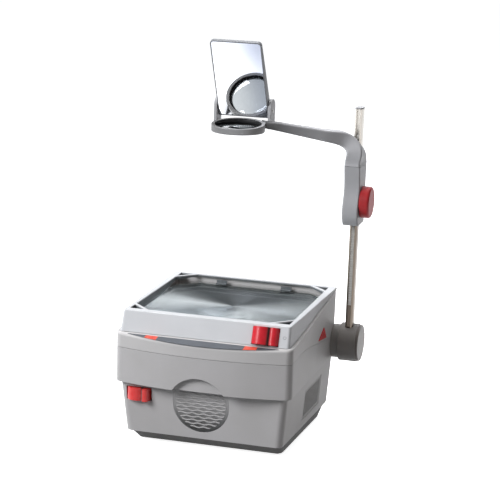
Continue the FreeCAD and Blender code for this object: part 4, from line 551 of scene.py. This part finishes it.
def powerMark():  # the usual on-off sign, an open ring with a stroke, printed beside the switch
    look = {"radius": 2.6 * mm, "line": 0.55 * mm, "gap": math.radians(38), "lift": 0.05 * mm, "aside": 9.5 * mm,
            "thick": 0.06 * mm, "stroke": (0.4 * mm, 3.4 * mm), "steps": 24}
    low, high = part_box("power_rocker")
    face = nodes["stage_frame"].data
    x = high.x + look["aside"]
    z = (low.z + high.z) / 2
    best = None
    for polygon in face.polygons:  # the sloped front face gives the place and the slope
        n = polygon.normal
        if n.y < -0.85 and n.z > 0.2 and (best is None or polygon.area > best.area):
            best = polygon
    normal = best.normal.copy()
    point = face.vertices[best.vertices[0]].co
    y = point.y - normal.z * (z - point.z) / normal.y
    outward = Vector((0, normal.y, normal.z)).normalized()
    up = Vector((0, -outward.z, outward.y)) * -1
    centre = Vector((x, y, z)) + outward * look["lift"]
    bm = bmesh.new()

    def strip(points):
        for (a, b), (c, d) in zip(points, points[1:]):
            bm.faces.new([bm.verts.new(centre + Vector((1, 0, 0)) * p[0] + up * p[1]) for p in (a, b, d, c)])
    arc = []
    for i in range(look["steps"] + 1):
        angle = math.pi / 2 + look["gap"] + (2 * math.pi - 2 * look["gap"]) * i / look["steps"]
        arc.append(tuple((r * math.cos(angle), r * math.sin(angle))
                         for r in (look["radius"] - look["line"] / 2, look["radius"] + look["line"] / 2)))
    strip(arc)
    half = look["line"] / 2
    strip([((-half, z), (half, z)) for z in look["stroke"]])
    bmesh.ops.remove_doubles(bm, verts=bm.verts[:], dist=0.01 * mm)
    bmesh.ops.recalc_face_normals(bm, faces=bm.faces[:])
    extruded = bmesh.ops.extrude_face_region(bm, geom=bm.faces[:])
    moved = [v for v in extruded["geom"] if isinstance(v, bmesh.types.BMVert)]
    bmesh.ops.translate(bm, verts=moved, vec=outward * look["thick"])
    newPiece("powerMark", bm, "printedInk", "lid")


powerMark()
print("switch mark printed")


def plainFloor():  # a large pale sheet, only there to stand on
    look = {"half": 30.0, "colour": "#f4f4f4", "glow": 0.85}
    mesh = bpy.data.meshes.new("floor")
    h = look["half"]
    mesh.from_pydata([(-h, -h, 0), (h, -h, 0), (h, h, 0), (-h, h, 0)], [], [(0, 1, 2, 3)])
    floor = bpy.data.objects.new("floor", mesh)
    bpy.context.scene.collection.objects.link(floor)
    material, tree, shader, place = startMaterial("paleFloor")
    tree.links.new(mottle(tree, place, 400, 0.2, 0.8, "#f0f0f0", look["colour"]), shader.inputs["Base Color"])
    shader.inputs["Roughness"].default_value = 0.9
    shader.inputs["Emission Color"].default_value = (1, 1, 1, 1)
    shader.inputs["Emission Strength"].default_value = look["glow"]
    mesh.materials.append(material)
    floor.visible_diffuse = False


def lensCards():  # two studio cards that only the lens picks up: a glowing white one over the stage and a black one behind the head, painted light and painted shade seen through the lens
    cards = {
        "whiteCard": {"corners": [(-0.5, -0.8, 0.262), (0.5, -0.8, 0.262), (0.5, 0.2, 0.262), (-0.5, 0.2, 0.262)],
                      "glow": 0.9},
        "blackCard": {"corners": [(-0.5, 0.3, 0.05), (0.5, 0.3, 0.05), (0.5, 0.3, 0.8), (-0.5, 0.3, 0.8)],
                      "glow": 0.02},
    }
    for name, look in cards.items():
        mesh = bpy.data.meshes.new(name)
        mesh.from_pydata(look["corners"], [], [(0, 1, 2, 3)])
        card = bpy.data.objects.new(name, mesh)
        bpy.context.scene.collection.objects.link(card)
        material, tree, shader, place = startMaterial(name)
        tree.links.new(mottle(tree, place, 400, 0.2, 0.8, "#050505", "#0a0a0a"), shader.inputs["Base Color"])
        shader.inputs["Emission Color"].default_value = (1, 1, 1, 1)
        shader.inputs["Emission Strength"].default_value = look["glow"]
        mesh.materials.append(material)
        for ray in ("camera", "diffuse", "glossy", "shadow"):
            setattr(card, "visible_" + ray, False)


def softLight(name, look):
    data = bpy.data.lights.new(name, "AREA")
    data.shape = "RECTANGLE"
    data.size = look["wide"]
    data.size_y = look["tall"]
    data.energy = look["power"]
    data.color = linear(look["colour"])[:3]
    lamp = bpy.data.objects.new(name, data)
    bpy.context.scene.collection.objects.link(lamp)
    lamp.location = look["at"]
    aim = Vector(look["towards"]) - Vector(look["at"])
    lamp.rotation_euler = aim.to_track_quat("-Z", "Y").to_euler()


lights = {
    "keyLight": {"at": (-2.2, -2.4, 2.2), "towards": (0, 0, 0.2), "wide": 1.6, "tall": 1.6, "power": 150,
                 "colour": "#fbfcff"},
    "topLight": {"at": (-0.3, 0.6, 2.6), "towards": (0, 0, 0.2), "wide": 1.8, "tall": 1.4, "power": 60,
                 "colour": "#ffffff"},
    "warmFill": {"at": (2.6, -1.2, 1.0), "towards": (0, 0, 0.2), "wide": 1.2, "tall": 1.4, "power": 4,
                 "colour": "#ffdfcc"},
    "leftCard": {"at": (-2.4, 0.5, 1.0), "towards": (0, 0, 0.25), "wide": 0.8, "tall": 1.0, "power": 22,
                 "colour": "#f4f8ff"},
    "rearFill": {"at": (0.5, 3.0, 1.8), "towards": (0, 0, 0.2), "wide": 2.0, "tall": 1.2, "power": 35,
                 "colour": "#f6f8ff"},
}


def studio():
    plainFloor()
    lensCards()
    for name, look in lights.items():
        softLight(name, look)
    world = bpy.data.worlds.new("studioAir")
    bpy.context.scene.world = world
    world.use_nodes = True
    background = world.node_tree.nodes["Background"]
    background.inputs["Color"].default_value = linear("#c8ccd0")
    background.inputs["Strength"].default_value = 0.3
    bpy.context.scene.view_settings.view_transform = "Standard"


def portraitCamera():
    look = {"at": (0.8267, -2.8791, 0.9974), "towards": (0.0292, 0, 0.3298), "roll": 2.0, "lens": 124.8}
    data = bpy.data.cameras.new("camera")
    data.lens = look["lens"]
    data.sensor_width = 36.0
    camera = bpy.data.objects.new("camera", data)
    bpy.context.scene.collection.objects.link(camera)
    aim = Vector(look["towards"]) - Vector(look["at"])
    roll = Matrix.Rotation(math.radians(look["roll"]), 4, "Z")
    turn = aim.to_track_quat("-Z", "Y").to_matrix().to_4x4()
    camera.matrix_world = Matrix.Translation(look["at"]) @ turn @ roll
    bpy.context.scene.camera = camera


studio()
portraitCamera()
print("studio and camera set")
